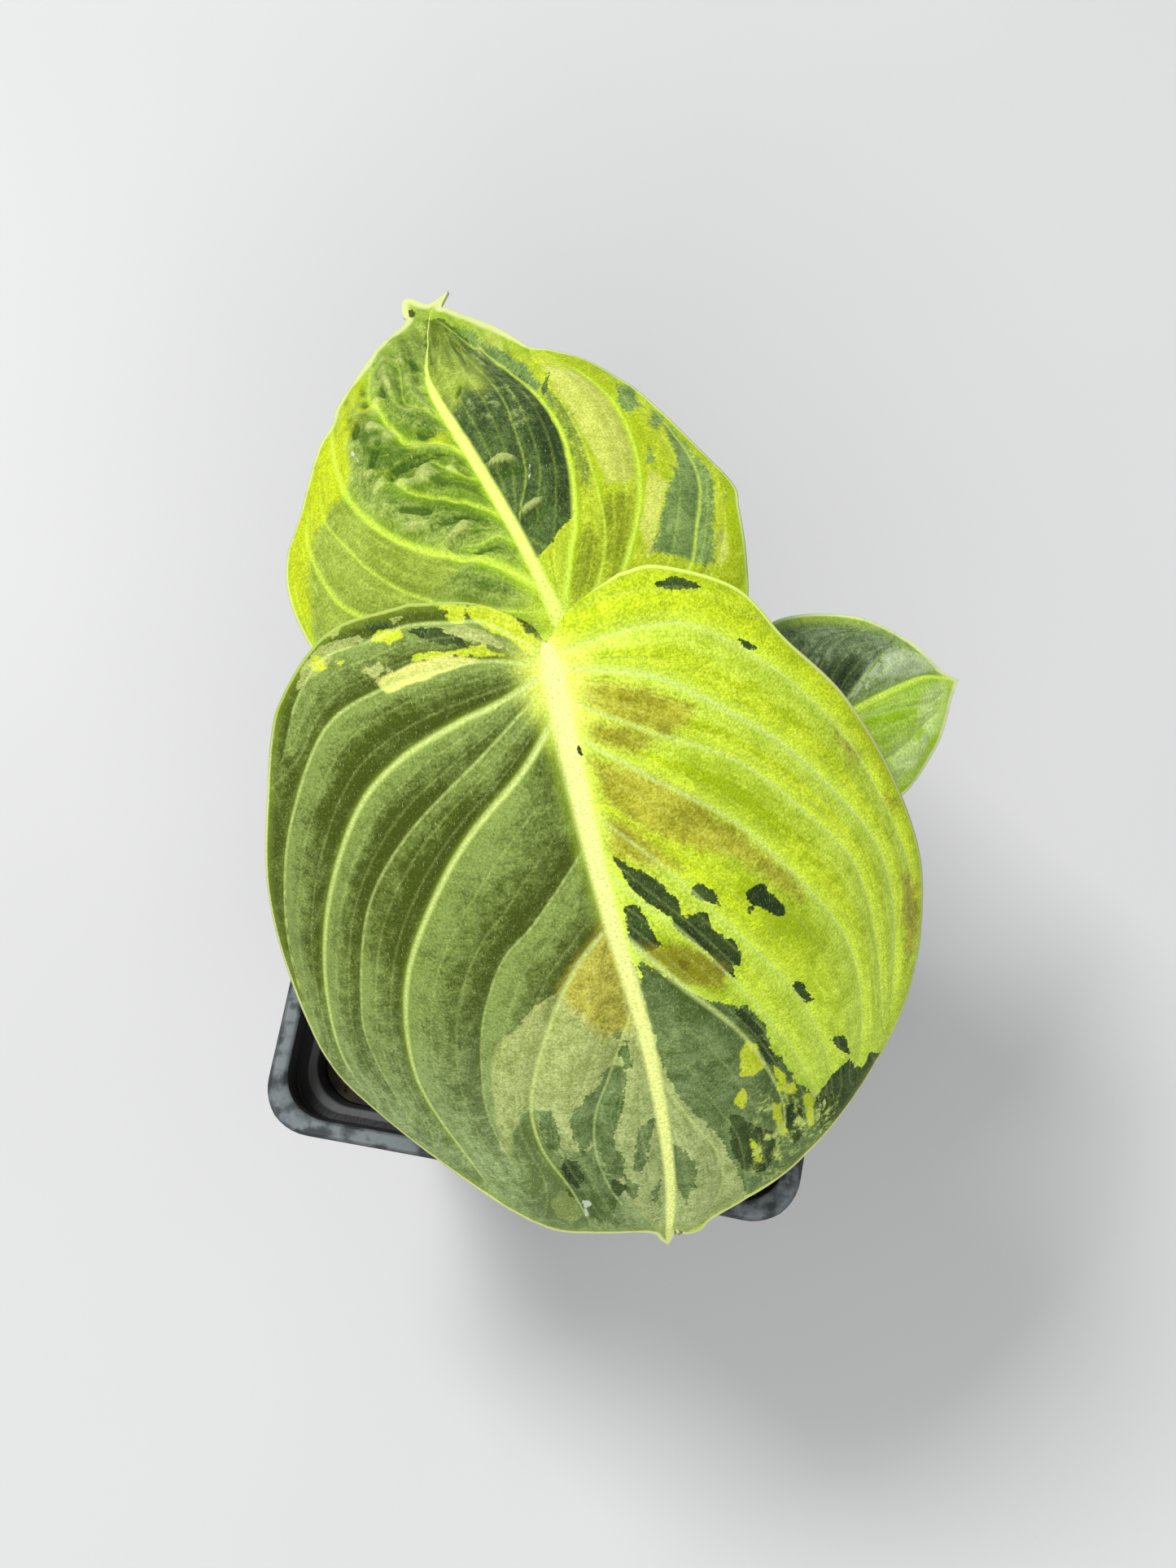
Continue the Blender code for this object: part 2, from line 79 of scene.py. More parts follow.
def alone(obj):
    """Make obj the only selected object, and the active one."""
    bpy.ops.object.select_all(action="DESELECT")
    obj.select_set(True)
    bpy.context.view_layer.objects.active = obj


def pick(kind, wanted):
    """In edit mode, leave selected only the faces or the edges that pass the test."""
    bpy.ops.mesh.select_mode(type=kind)
    bpy.ops.mesh.select_all(action="DESELECT")
    shape = bmesh.from_edit_mesh(bpy.context.object.data)
    for part in shape.faces if kind == "FACE" else shape.edges:
        part.select_set(bool(wanted(part)))
    bmesh.update_edit_mesh(bpy.context.object.data)


def apply_modifier(obj, kind, **settings):
    """Give obj a modifier with these settings, and make its result the mesh."""
    alone(obj)
    made = obj.modifiers.new(kind.lower(), kind)
    for name, value in settings.items():
        setattr(made, name, value)
    bpy.ops.object.modifier_apply(modifier=made.name)


bpy.ops.object.select_all(action="DESELECT")
bpy.ops.mesh.primitive_cube_add(size=2 * BASE_HALF)
pot = bpy.context.object
pot.name = "nursery_pot"
bpy.ops.object.mode_set(mode="EDIT")
bpy.ops.transform.resize(value=(1, 1, BASE_EDGE / (2 * BASE_HALF)), center_override=(0, 0, 0))
bpy.ops.transform.translate(value=(0, 0, BASE_EDGE / 2))
pick("EDGE", lambda edge: abs(edge.verts[0].co.z - edge.verts[1].co.z) > BASE_EDGE / 2)
bpy.ops.mesh.bevel(offset=BASE_CORNER, segments=10, affect="EDGES")
pick("EDGE", lambda edge: edge.calc_length() > BASE_HALF)
bpy.ops.mesh.subdivide(number_cuts=7)
pick("FACE", lambda face: face.normal.z < -0.9)
bpy.ops.transform.resize(value=(FOOT_DRAWN_IN, FOOT_DRAWN_IN, 1), center_override=(0, 0, 0))
pick("FACE", lambda face: face.normal.z > 0.9)
half_before, height_before = BASE_HALF, BASE_EDGE
for half, height in POT_WALL:
    half, height = half * MM, height * MM
    bpy.ops.mesh.extrude_region_move(TRANSFORM_OT_translate={"value": (0, 0, height - height_before)})
    share = half / half_before
    bpy.ops.transform.resize(value=(share, share, 1), center_override=(0, 0, 0))
    half_before, height_before = half, height
bpy.ops.object.mode_set(mode="OBJECT")
for vert in pot.data.vertices:
    x, y, z = vert.co
    reach = max(abs(x), abs(y))
    bow = SIDE_BOW * (1 - (min(abs(x), abs(y)) / reach) ** 2) * z / POT_HEIGHT
    vert.co = Vector((x, y, z)) * (1 - bow / reach) + Vector((0, 0, z * bow / reach))
for x in (-DRAIN_PLACE, DRAIN_PLACE):
    for y in (-DRAIN_PLACE, DRAIN_PLACE):
        bpy.ops.mesh.primitive_cylinder_add(
            vertices=32, radius=DRAIN_RADIUS, depth=3 * FLOOR, location=(x, y, FLOOR / 2)
        )
        drain = bpy.context.object
        apply_modifier(pot, "BOOLEAN", operation="DIFFERENCE", object=drain, solver="EXACT")
        bpy.data.objects.remove(drain, do_unlink=True)
apply_modifier(pot, "BEVEL", width=SOFT_EDGE, segments=3, limit_method="ANGLE", angle_limit=SHARP_FROM)
bpy.ops.object.shade_smooth_by_angle(angle=SMOOTH_TO)


def finish(name, numbers):
    """A new material and its Principled shader, with the steady numbers on the shader's sockets."""
    made = bpy.data.materials.new(name)
    made.use_nodes = True
    shader = made.node_tree.nodes["Principled BSDF"]
    for socket, value in numbers.items():
        shader.inputs[socket].default_value = value
    return made, shader


def given(shader, kind, output, **settings):
    """What the surface itself gives a shader, such as its place or a kept attribute."""
    made = shader.id_data.nodes.new("ShaderNode" + kind)
    for name, value in settings.items():
        setattr(made, name, value)
    return made.outputs[output]


def plug(shader, socket, value):
    shader.id_data.links.new(value, shader.inputs[socket])


def node(kind, inputs, **settings):
    """Add a node whose inputs are numbers, colours and other nodes' outputs. Gives its first output."""
    wired = {name: value for name, value in inputs.items() if isinstance(value, bpy.types.NodeSocket)}
    made = given(next(iter(wired.values())), kind, 0, **settings)
    for name, value in inputs.items():
        if name in wired:
            plug(made.node, name, value)
        else:
            made.node.inputs[name].default_value = value
    return made


def calc(operation, first, second=0.0):
    return node("Math", {0: first, 1: second}, operation=operation)


def times(first, second):
    return calc("MULTIPLY", first, second)


def total(start, *weighted):
    """The start number plus each value times its weight."""
    for value, weight in weighted:
        start = node("Math", {0: value, 1: weight, 2: start}, operation="MULTIPLY_ADD")
    return start


def fade(value, start, end):
    """Rises from 0 to 1 as the value goes from start to end, softly at both ends."""
    ends = {"Value": value, "From Min": start, "From Max": end}
    return node("MapRange", ends, interpolation_type="SMOOTHSTEP")


def blend(share, under, over):
    """The over colour laid on the under colour by share."""
    under, over = [(*c, 1) if isinstance(c, tuple) else c for c in (under, over)]
    return node("Mix", {0: share, 6: under, 7: over}, data_type="RGBA").node.outputs[2]


def axis_of(vector, axis):
    return node("SeparateXYZ", {0: vector}).node.outputs[axis]


def stretch(place, scale, turn=0.0):
    """The place scaled along each axis and turned about Z, for a grain that runs one way."""
    return node("Mapping", {"Vector": place, "Rotation": (0, 0, turn), "Scale": scale})


def grain(place, scale, detail=2.0, rough=0.5):
    """Noise from 0 to 1, with this many lumps to each unit of place."""
    return node("TexNoise", {"Vector": place, "Scale": scale, "Detail": detail, "Roughness": rough})


def bump(shader, height, depth):
    """Raise the surface by height times depth, in metres."""
    plug(shader, "Normal", node("Bump", {"Height": height, "Distance": depth, "Strength": 1.0}))


def put_on(obj, *finishes):
    """Give obj these materials alone, the first of them all over."""
    obj.data.materials.clear()
    for made in finishes:
        obj.data.materials.append(made)


black_plastic, shader = finish("black_plastic", {"Specular IOR Level": 0.25})
place = given(shader, "TexCoord", "Object")
height = axis_of(place, "Z")
facing_up = axis_of(given(shader, "NewGeometry", "Normal"), "Z")
cloudy = grain(place, 130, detail=4, rough=0.6)
streaks = grain(stretch(place, (1, 1, 0.12)), 900, detail=3)
black = blend(cloudy, BLACK, FADED_BLACK)
black = blend(times(fade(streaks, 0.58, 0.75), 0.35), black, MOULD_STREAK)
# The up-facing rim top goes a mottled paler bluish grey: scuffs and dust, partly a painted reflection of
# the sky on the gloss
on_rim = times(fade(facing_up, 0.35, 0.95), fade(height, *RIM_TOP))
scuffs_and_sheen = fade(total(0.0, (cloudy, 1.0), (grain(place, 420), 0.7)), 0.75, 1.0)
rim_dust_and_sheen = blend(scuffs_and_sheen, RIM_BLACK, RIM_DUST_AND_SHEEN)
black = blend(times(on_rim, 0.92), black, rim_dust_and_sheen)
# The step's upward face inside the pot: painted shade, darker than the plastic, with a painted highlight
# along its inner edge
on_ledge = times(fade(facing_up, 0.5, 0.95), fade(height, *LEDGE_FOOT))
on_ledge = times(on_ledge, fade(height, *LEDGE_TOP))
past = node("VectorMath", {0: place}, operation="ABSOLUTE")
past = node("VectorMath", {0: past, 1: (LEDGE_STRAIGHT, LEDGE_STRAIGHT, 1.0)}, operation="SUBTRACT")
past = node("VectorMath", {0: past, 1: (0, 0, 0)}, operation="MAXIMUM")
past = node("VectorMath", {0: past}, operation="LENGTH").node.outputs["Value"]
black = blend(on_ledge, black, blend(fade(past, *LEDGE_BEND), LEDGE_PAINTED_SHADE, LEDGE_PAINTED_HIGHLIGHT))
plug(shader, "Base Color", black)
gloss = node("MapRange", {"Value": cloudy, "To Min": 0.34, "To Max": 0.56})
plug(shader, "Roughness", gloss)
bump(shader, grain(place, 1600, detail=3), 0.04 * MM)
put_on(pot, black_plastic)
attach(pot, "root")
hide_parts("pot")

# The growing mix: dark composted bark, coir and a little grit, poured in loose and sunk a little after
# watering. Its body is one lumpy mass, with chips, crumbs and fibres lying on top.
SOIL_TOP = 74 * MM
SOIL_BUMP = 2.8 * MM
SOIL_LUMP = 9 * MM
SOIL_CELLS = 110
SOIL_FOOT = 2.1 * MM
STEM_STANDS_AT = 4.9 * MM
STEM_ROOM = 4.6 * MM
WALL_ROOM, CORNER_ROOM = 1.2 * MM, 2 * MM
CHIPS, CRUMBS, GRIT, FIBRES = 450, 1040, 62, 70
CHIP_SIZES = ((4.6, 3.0, 1.3), (3.2, 2.4, 1.5), (2.4, 1.7, 1.0))
CRUMB_SIZES = ((1.5, 1.2, 0.9), (1.0, 0.9, 0.7))
GRIT_SIZE = (1.5, 1.2, 1.1)
DARK_BARK, BROWN_BARK = (0.007, 0.005, 0.003), (0.042, 0.027, 0.016)
COIR_BROWN, GRIT_GREY, DRY_SPECK = (0.055, 0.034, 0.019), (0.2, 0.17, 0.13), (0.09, 0.065, 0.04)
draw = random.Random(7)


def wall_inside(height):
    """Half the pot's inside width at that height, under the stacking step."""
    return BASE_HALF + (STEP_HALF - BASE_HALF) * height / STEP_HEIGHT - WALL


def soil_height(x, y):
    """The mix's lumpy top: broad swells, with finer lumps on them."""
    spot = Vector((x, y, 0))
    broad = SOIL_BUMP * (noise.noise((spot + Vector((0, 0, SOIL_TOP))) / SOIL_LUMP) - 0.3)
    fine = 0.7 * MM * noise.noise(spot / (2.6 * MM)) + 0.35 * MM * noise.noise(spot / (1.1 * MM))
    return SOIL_TOP + broad + fine


top_half = wall_inside(SOIL_TOP)
foot_half = wall_inside(FLOOR)
corner = top_half * BASE_CORNER / BASE_HALF
straight = top_half - corner
bpy.ops.object.select_all(action="DESELECT")
bpy.ops.mesh.primitive_grid_add(x_subdivisions=SOIL_CELLS, y_subdivisions=SOIL_CELLS, size=2 * top_half)
soil = bpy.context.object
soil.name = "growing_mix"
for vert in soil.data.vertices:
    x, y = vert.co.x, vert.co.y
    past_x, past_y = abs(x) - straight, abs(y) - straight
    if past_x > 0 and past_y > 0:
        round_off = max(past_x, past_y) / math.hypot(past_x, past_y)
        x = math.copysign(straight + past_x * round_off, x)
        y = math.copysign(straight + past_y * round_off, y)
    vert.co = (x, y, soil_height(x, y))
bpy.ops.object.mode_set(mode="EDIT")
pick("EDGE", lambda edge: edge.is_boundary)
bpy.ops.mesh.extrude_edges_move(TRANSFORM_OT_translate={"value": (0, 0, FLOOR - SOIL_TOP)})
narrower = foot_half / top_half
bpy.ops.transform.resize(value=(narrower, narrower, 0), center_override=(0, 0, SOIL_FOOT))
bpy.ops.mesh.edge_face_add()
bpy.ops.mesh.select_all(action="SELECT")
bpy.ops.mesh.normals_make_consistent(inside=False)
bpy.ops.object.mode_set(mode="OBJECT")
bpy.ops.object.shade_smooth_by_angle(angle=math.radians(60))


def rough_chunk(size, cuts, rough, seed):
    """A broken bit of bark or grit, cut from a block and knocked out of true."""
    bpy.ops.object.select_all(action="DESELECT")
    bpy.ops.mesh.primitive_cube_add(size=1)
    bpy.ops.object.mode_set(mode="EDIT")
    bpy.ops.mesh.subdivide(number_cuts=cuts, smoothness=0.7)
    bpy.ops.transform.vertex_random(offset=rough, uniform=1.0, seed=seed)
    bpy.ops.transform.resize(value=[side * MM for side in size], center_override=(0, 0, 0))
    bpy.ops.object.mode_set(mode="OBJECT")
    return bpy.context.object


def fibre(seed):
    """A strand of coir, three sided and loosely curled."""
    bends = random.Random(seed)
    points = [Vector((4 * t, bends.uniform(-1.4, 1.4), bends.uniform(0, 0.7))) * MM for t in range(4)]
    return tube("coir", smooth_line(points, 12), [0.14 * MM] * 12, sides=0)


def smooth_line(points, count):
    """A smooth curve through the points, cut into points at even spaces along it."""
    p = np.array([tuple(q) for q in points], float)
    p = np.vstack([2 * p[0] - p[1], p, 2 * p[-1] - p[-2]])
    t = np.linspace(0, 1, 24, endpoint=False)[:, None]
    runs = []
    for a, b, c, d in zip(p, p[1:], p[2:], p[3:]):
        bend = 2 * b + (c - a) * t + (2 * a - 5 * b + 4 * c - d) * t**2
        runs.append((bend + (3 * b - a - 3 * c + d) * t**3) / 2)
    line = np.vstack([*runs, p[-2:-1]])
    length = np.concatenate([[0], np.cumsum(np.linalg.norm(np.diff(line, axis=0), axis=1))])
    at = np.linspace(0, length[-1], count)
    return np.stack([np.interp(at, length, column) for column in line.T], axis=1)


def tube(name, points, radii, sides=6):
    """A closed tube along the points, made from a curve and turned into a mesh with its caps welded."""
    curve = bpy.data.curves.new(name, "CURVE")
    curve.dimensions = "3D"
    curve.bevel_depth = MM
    curve.bevel_resolution = sides
    curve.use_fill_caps = True
    spline = curve.splines.new("POLY")
    spline.points.add(len(points) - 1)
    for target, point, radius in zip(spline.points, points, radii):
        target.co = (*point, 1.0)
        target.radius = radius / MM
    made = bpy.data.objects.new(name, curve)
    bpy.context.scene.collection.objects.link(made)
    alone(made)
    bpy.ops.object.convert(target="MESH")
    made = bpy.context.object
    bpy.ops.object.mode_set(mode="EDIT")
    bpy.ops.mesh.select_all(action="SELECT")
    bpy.ops.mesh.remove_doubles(threshold=0.001 * MM)
    bpy.ops.mesh.normals_make_consistent(inside=False)
    bpy.ops.object.mode_set(mode="OBJECT")
    bpy.ops.object.shade_smooth()
    return made


def scatter(models, count, tint_range, sink, flat_turn):
    """Copies of the models strewn over the mix, each with its own mesh, turn, size and tint. Those that
    would reach the stem or the pot's wall are left out."""
    strewn = []
    reach = top_half - WALL_ROOM
    for _ in range(count):
        model = draw.choice(models)
        x, y = draw.uniform(-reach, reach), draw.uniform(-reach, reach)
        if math.hypot(x, y - STEM_STANDS_AT) < STEM_ROOM or min(abs(x), abs(y)) > reach - CORNER_ROOM:
            continue
        size = draw.uniform(0.6, 1.15)
        turn = Matrix.Rotation(draw.uniform(0, math.tau), 4, "Z")
        turn = turn @ Matrix.Rotation(draw.gauss(0, flat_turn), 4, "X")
        turn = turn @ Matrix.Rotation(draw.gauss(0, flat_turn), 4, "Y")
        spot = Vector((x, y, soil_height(x, y) + draw.uniform(-0.2, 0.5) * sink))
        lying = Matrix.Translation(spot) @ turn @ Matrix.Scale(size, 4)
        spread = [lying @ vert.co for vert in model.data.vertices]
        past = [(max(abs(at.x) - straight, 0), max(abs(at.y) - straight, 0)) for at in spread]
        if max(math.hypot(*over) for over in past) > corner:
            continue
        piece = bpy.data.objects.new("bit", model.data.copy())
        bpy.context.scene.collection.objects.link(piece)
        piece.data.transform(lying)
        tint = piece.data.attributes.new("tint", "FLOAT", "POINT")
        tint.data.foreach_set("value", [draw.uniform(*tint_range)] * len(piece.data.vertices))
        strewn.append(piece)
    for model in models:
        bpy.data.objects.remove(model, do_unlink=True)
    return strewn


chips = [rough_chunk(size, 1, 0.28, seed) for seed, size in enumerate(CHIP_SIZES)]
crumbs = [rough_chunk(size, 1, 0.22, seed + 5) for seed, size in enumerate(CRUMB_SIZES)]
grit = [rough_chunk(GRIT_SIZE, 1, 0.2, 11)]
bits = scatter(chips, CHIPS, (0.1, 0.6), 0.8 * MM, 0.35)
bits += scatter(crumbs, CRUMBS, (0.0, 0.45), 0.5 * MM, 1.2)
bits += scatter(grit, GRIT, (0.8, 1.0), 0.4 * MM, 1.2)
bits += scatter([fibre(seed) for seed in range(3)], FIBRES, (0.55, 0.75), 0.9 * MM, 0.25)
bpy.ops.object.select_all(action="DESELECT")
for bit in bits:
    bit.select_set(True)
bpy.context.view_layer.objects.active = bits[0]
bpy.ops.object.join()
mix_bits = bpy.context.object
mix_bits.name = "bark_and_coir"

damp_mix, shader = finish("damp_growing_mix", {"Roughness": 0.85})
place = given(shader, "TexCoord", "Object")
tint = given(shader, "Attribute", "Fac", attribute_name="tint")
brown = blend(grain(place, 420, detail=5, rough=0.65), DARK_BARK, BROWN_BARK)
brown = blend(fade(tint, 0.15, 0.6), brown, COIR_BROWN)
brown = blend(fade(tint, 0.75, 0.85), brown, GRIT_GREY)
dry = fade(grain(place, 1500), 0.6, 0.8)
brown = blend(times(dry, 0.4), brown, DRY_SPECK)
plug(shader, "Base Color", brown)
bump(shader, grain(place, 1800, detail=4, rough=0.7), 0.25 * MM)
for part in (soil, mix_bits):
    put_on(part, damp_mix)
    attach(part, "root")
    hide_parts("soil")

# The stem: a short green cane standing in the mix. It is ringed and a little swollen where each leaf
# grew out of it, and brown and corky at its foot.
STEM_FOOT = Vector((0.0, 4.5, 50)) * MM
STEM_TOP = Vector((-0.5, 5.0, 97)) * MM
STEM_RADIUS = 4.2 * MM
STEM_NODES = (0.6, 0.72, 0.86)
CANE_GREEN, CANE_PALE = (0.07, 0.11, 0.025), (0.2, 0.27, 0.08)
RING_TAN, CORK = (0.24, 0.2, 0.1), (0.075, 0.05, 0.026)
CORK_TOP = (84 * MM, 72 * MM)

stem_points = smooth_line((STEM_FOOT, (STEM_FOOT + STEM_TOP) / 2 + Vector((0.4, 0, 0)) * MM, STEM_TOP), 90)
stem_radii = []
for share in np.linspace(0, 1, len(stem_points)):
    swell = sum(math.exp(-(((share - ring) / 0.045) ** 2)) for ring in STEM_NODES)
    crease = sum(math.exp(-(((share - ring - 0.035) / 0.008) ** 2)) for ring in STEM_NODES)
    domed_top = math.sqrt(max(0.02, 1 - max(0.0, (share - 0.94) / 0.06) ** 2))
    stem_radii.append(STEM_RADIUS * (0.84 - 0.16 * share + 0.11 * swell - 0.05 * crease) * domed_top)
stem = tube("stem_cane", stem_points, stem_radii, sides=10)

green_cane, shader = finish("green_cane", {"Roughness": 0.5})
place = given(shader, "TexCoord", "Object")
long_grain = grain(stretch(place, (1, 1, 0.15)), 1100, detail=4)
rings = grain(stretch(place, (0.15, 0.15, 1)), 700, detail=2)
green = blend(long_grain, CANE_GREEN, CANE_PALE)
green = blend(times(fade(rings, 0.55, 0.75), 0.5), green, RING_TAN)
green = blend(fade(axis_of(place, "Z"), *CORK_TOP), green, CORK)
plug(shader, "Base Color", green)
bump(shader, long_grain, 0.12 * MM)
put_on(stem, green_cane)
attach(stem, "root")
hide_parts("stem")

# The leaf blades: each is one thin sheet of velvety tissue, pressed in along its veins and puffed up
# between them, with a keel under its midrib. The cells of a sport colour it lime, khaki and dark green.
BLADE = 0.45 * MM
KEEL = 2.0 * MM

# These and the leaves' own outlines are in millimetres on the flat leaf
KEEL_WIDTH = 2.2
VEIN_KEEL_WIDTH = 0.9
MIDRIB_GROOVE, GROOVE_WIDTH = 0.7, 1.9
MIDRIB_RISE, RISE_WIDTH = 0.3, 0.9
VEIN_GROOVE, VEIN_WIDTH = 0.55, 1.5
SIDE_GROOVE, SIDE_WIDTH = 0.12, 0.6
SIDE_LINES = 3.0
VALLEY, VALLEY_REACH = 0.1, 12
NO_PATCH = 30.0

# The numbers that each mesh keeps for its skin, up to three to an attribute
KEPT = {
    "flat": ("x", "y"),
    "veining": ("number", "width", "strength"),
    "ribbing": ("rib", "edge", "paleness"),
    "patches": ("dark", "lime", "khaki"),
    "stains": ("cream", "tan", "glow"),
    "scars": ("scar", "burn", "relief"),
    "shades": ("sector", "shade", "fleck"),
}


class LeafSheet:
    """The curved surface of one leaf, as points for places on the flat leaf in millimetres."""

    def __init__(self, design):
        self.design = design
        heading = math.radians(design["heading"])
        self.forward = np.array([math.sin(heading), -math.cos(heading), 0.0])
        self.sideways = np.array([math.cos(heading), math.sin(heading), 0.0])
        self.up = np.array([0.0, 0.0, 1.0])
        places, degrees = zip(*design["slopes"])
        self.y = np.linspace(places[0], places[-1] + 10, 1200)
        self.slope = np.radians(np.interp(self.y, places, degrees))
        step = self.y[1] - self.y[0]
        run = np.cumsum(np.cos(self.slope)) * step
        drop = np.cumsum(np.sin(self.slope)) * step
        self.run = run - np.interp(0, self.y, run)
        self.drop = drop - np.interp(0, self.y, drop)
        self.midrib = smooth_line((design["sinus"], *design["midrib"]), 120)

    def point(self, x, y, lift=0.0):
        """Across the leaf it droops as an arc on each side, and along it it follows the slopes."""
        x, y = np.asarray(x, float), np.asarray(y, float)
        left, right = self.design["droop"]
        bend = np.radians(np.where(x < 0, left, right)) / self.design["half"]
        across = np.sin(bend * x) / bend
        valley = VALLEY * abs(x) * np.exp(-abs(x) / VALLEY_REACH)
        rise = valley - (1 - np.cos(bend * x)) / bend + lift
        roll = math.radians(self.design["roll"])
        across, rise = (
            across * math.cos(roll) - rise * math.sin(roll),
            across * math.sin(roll) + rise * math.cos(roll),
        )
        slope = np.interp(y, self.y, self.slope)[..., None]
        normal = np.sin(slope) * self.forward + np.cos(slope) * self.up
        run = np.interp(y, self.y, self.run)[..., None]
        drop = np.interp(y, self.y, self.drop)[..., None]
        spine = run * self.forward - drop * self.up
        place = spine + across[..., None] * self.sideways + rise[..., None] * normal
        return np.array(self.design["attach"]) + place * MM

    def under(self, x, y, depth):
        """The point that far below the sheet there."""
        here = self.point(x, y)
        normal = np.cross(self.point(x + 1, y) - here, self.point(x, y + 1) - here)
        normal = normal * np.sign(normal[2]) / np.linalg.norm(normal)
        return Vector(here - normal * depth)


def gap_to(x, y, line):
    """From each place to the line: how far, how far along it (0 to 1), and on which side."""
    gap, along, side = np.full(len(x), 1e9), np.zeros(len(x)), np.ones(len(x))
    runs = np.diff(line, axis=0)
    for i, (start, run) in enumerate(zip(line, runs)):
        share = np.clip(((x - start[0]) * run[0] + (y - start[1]) * run[1]) / (run @ run + 1e-12), 0, 1)
        off_x, off_y = x - start[0] - share * run[0], y - start[1] - share * run[1]
        far = np.hypot(off_x, off_y)
        nearer = far < gap
        gap[nearer], along[nearer] = far[nearer], ((i + share) / len(runs))[nearer]
        side[nearer] = np.sign(run[0] * off_y - run[1] * off_x)[nearer]
    return gap, along, side


def patch_depth(x, y, outlines):
    """How far each place is outside the nearest of the closed outlines, and below zero inside one."""
    depth = np.full(len(x), NO_PATCH)
    for outline in outlines:
        ring = np.array([*outline, outline[0]], float)
        gap = gap_to(x, y, ring)[0]
        inside = np.zeros(len(x), bool)
        for (x0, y0), (x1, y1) in zip(ring, ring[1:]):
            crosses = (y0 > y) != (y1 > y)
            with np.errstate(divide="ignore", invalid="ignore"):
                inside ^= crosses & (x < x0 + (y - y0) * (x1 - x0) / (y1 - y0))
        depth = np.minimum(depth, np.where(inside, -gap, gap))
    return depth


def read(items, name, parts=1):
    """A number or a vector of every item, as one array for each of its parts."""
    found = np.empty(parts * len(items))
    items.foreach_get(name, found)
    return found.reshape(-1, parts).T.copy()


def flat_half(leaf, side, columns, rows):
    """Half of the flat leaf: a grid from the sinus and the midrib out to the margin, in millimetres. With
    it come the lines of its margin and of its side of the sinus."""
    design = leaf.design
    outline = design[side]
    tip_of_lobe = int(np.argmin([y for _, y in outline]))
    back_rows = round(rows * design["back_share"])
    back = smooth_line((*reversed(outline[:tip_of_lobe + 1]), design["sinus"]), back_rows + 1)
    front = smooth_line((design["sinus"], *design["midrib"]), rows - back_rows + 1)
    inner = np.vstack([back, front[1:]])
    outer = smooth_line(outline[tip_of_lobe:], rows + 1)
    bpy.ops.object.select_all(action="DESELECT")
    bpy.ops.mesh.primitive_grid_add(x_subdivisions=columns, y_subdivisions=rows, size=2)
    half = bpy.context.object
    x, y, _ = read(half.data.vertices, "co", 3)
    across = (x + 1) / 2
    row = np.rint((y + 1) / 2 * rows).astype(int)
    flat = inner[row] + (outer[row] - inner[row]) * across[:, None]
    half.data.vertices.foreach_set("co", np.column_stack([flat, np.zeros(len(flat))]).ravel())
    turns = 4 if side == "left" else 5
    wave = across**3 * np.sin(2 * math.pi * turns * row / rows) * np.sin(math.pi * row / rows)
    waves = half.data.attributes.new("wave", "FLOAT", "POINT")
    waves.data.foreach_set("value", wave * design["wave"])
    return half, outer, back


def flat_blade(name, leaf, columns, rows):
    """Both flat halves joined along the midrib, and the lines all round the blade."""
    left, *left_lines = flat_half(leaf, "left", columns, rows)
    right, *right_lines = flat_half(leaf, "right", columns, rows)
    alone(left)
    right.select_set(True)
    bpy.ops.object.join()
    blade = bpy.context.object
    blade.name = name
    bpy.ops.object.mode_set(mode="EDIT")
    bpy.ops.mesh.select_all(action="SELECT")
    bpy.ops.mesh.remove_doubles(threshold=0.02)
    bpy.ops.mesh.dissolve_degenerate(threshold=0.01)
    bpy.ops.object.mode_set(mode="OBJECT")
    return blade, (*left_lines, *right_lines)


def veining(leaf, x, y):
    """For each place: its fractional vein number, the width of that panel, the vein's strength, and how
    pale the panel is there. That pale tone beside each vein is partly the tissue's own and partly a painted
    velvet sheen on the flank just inside the vein. Numbers run from the lobe to the midrib, and panels
    darken that way."""
    number, width = np.zeros(len(x)), np.full(len(x), 10.0)
    strength, paleness = np.zeros(len(x)), np.zeros(len(x))
    midrib_side = gap_to(x, y, leaf.midrib)[2] > 0
    for half, here in (("left", midrib_side), ("right", ~midrib_side)):
        veins = [(weight, smooth_line(line, 50)) for weight, line in leaf.design["veins_" + half]]
        veins.append((1.0, leaf.midrib))
        last = len(veins) - 1
        measured = [gap_to(x[here], y[here], line) for _, line in veins]
        gap, along, side = [np.array(kind) for kind in zip(*measured)]
        nearest, every = gap.argmin(axis=0), np.arange(gap.shape[1])
        inwards = side[nearest, every] * (-1 if half == "left" else 1)
        inwards = np.where(nearest == last, -1, inwards).astype(int)
        other = np.clip(nearest + inwards, -1, last)
        own = gap[nearest, every]
        beyond = np.where(other < 0, 10.0, gap[np.clip(other, 0, None), every])
        number[here] = nearest + inwards * own / (own + beyond + 1e-6)
        width[here] = own + beyond
        thinning = 1.15 - 0.65 * along[nearest, every] - 0.5 * np.clip(along[nearest, every] * 10 - 9, 0, 1)
        weight = np.array([weight for weight, _ in veins])[nearest]
        rib_shows = np.interp(along[last], *zip(*leaf.design["midrib_halves"])) / 1.7
        strength[here] = weight * np.where(nearest == last, np.minimum(1, rib_shows), thinning)
        share = number[here] - np.floor(number[here])
        # Paler flank just inside each vein: partly the tissue's own tone, partly painted velvet sheen
        paleness[here] = np.where(number[here] > last - 1, 0.6, np.interp(share, (0.1, 0.85), (1, 0)))
    return number, width, strength, paleness


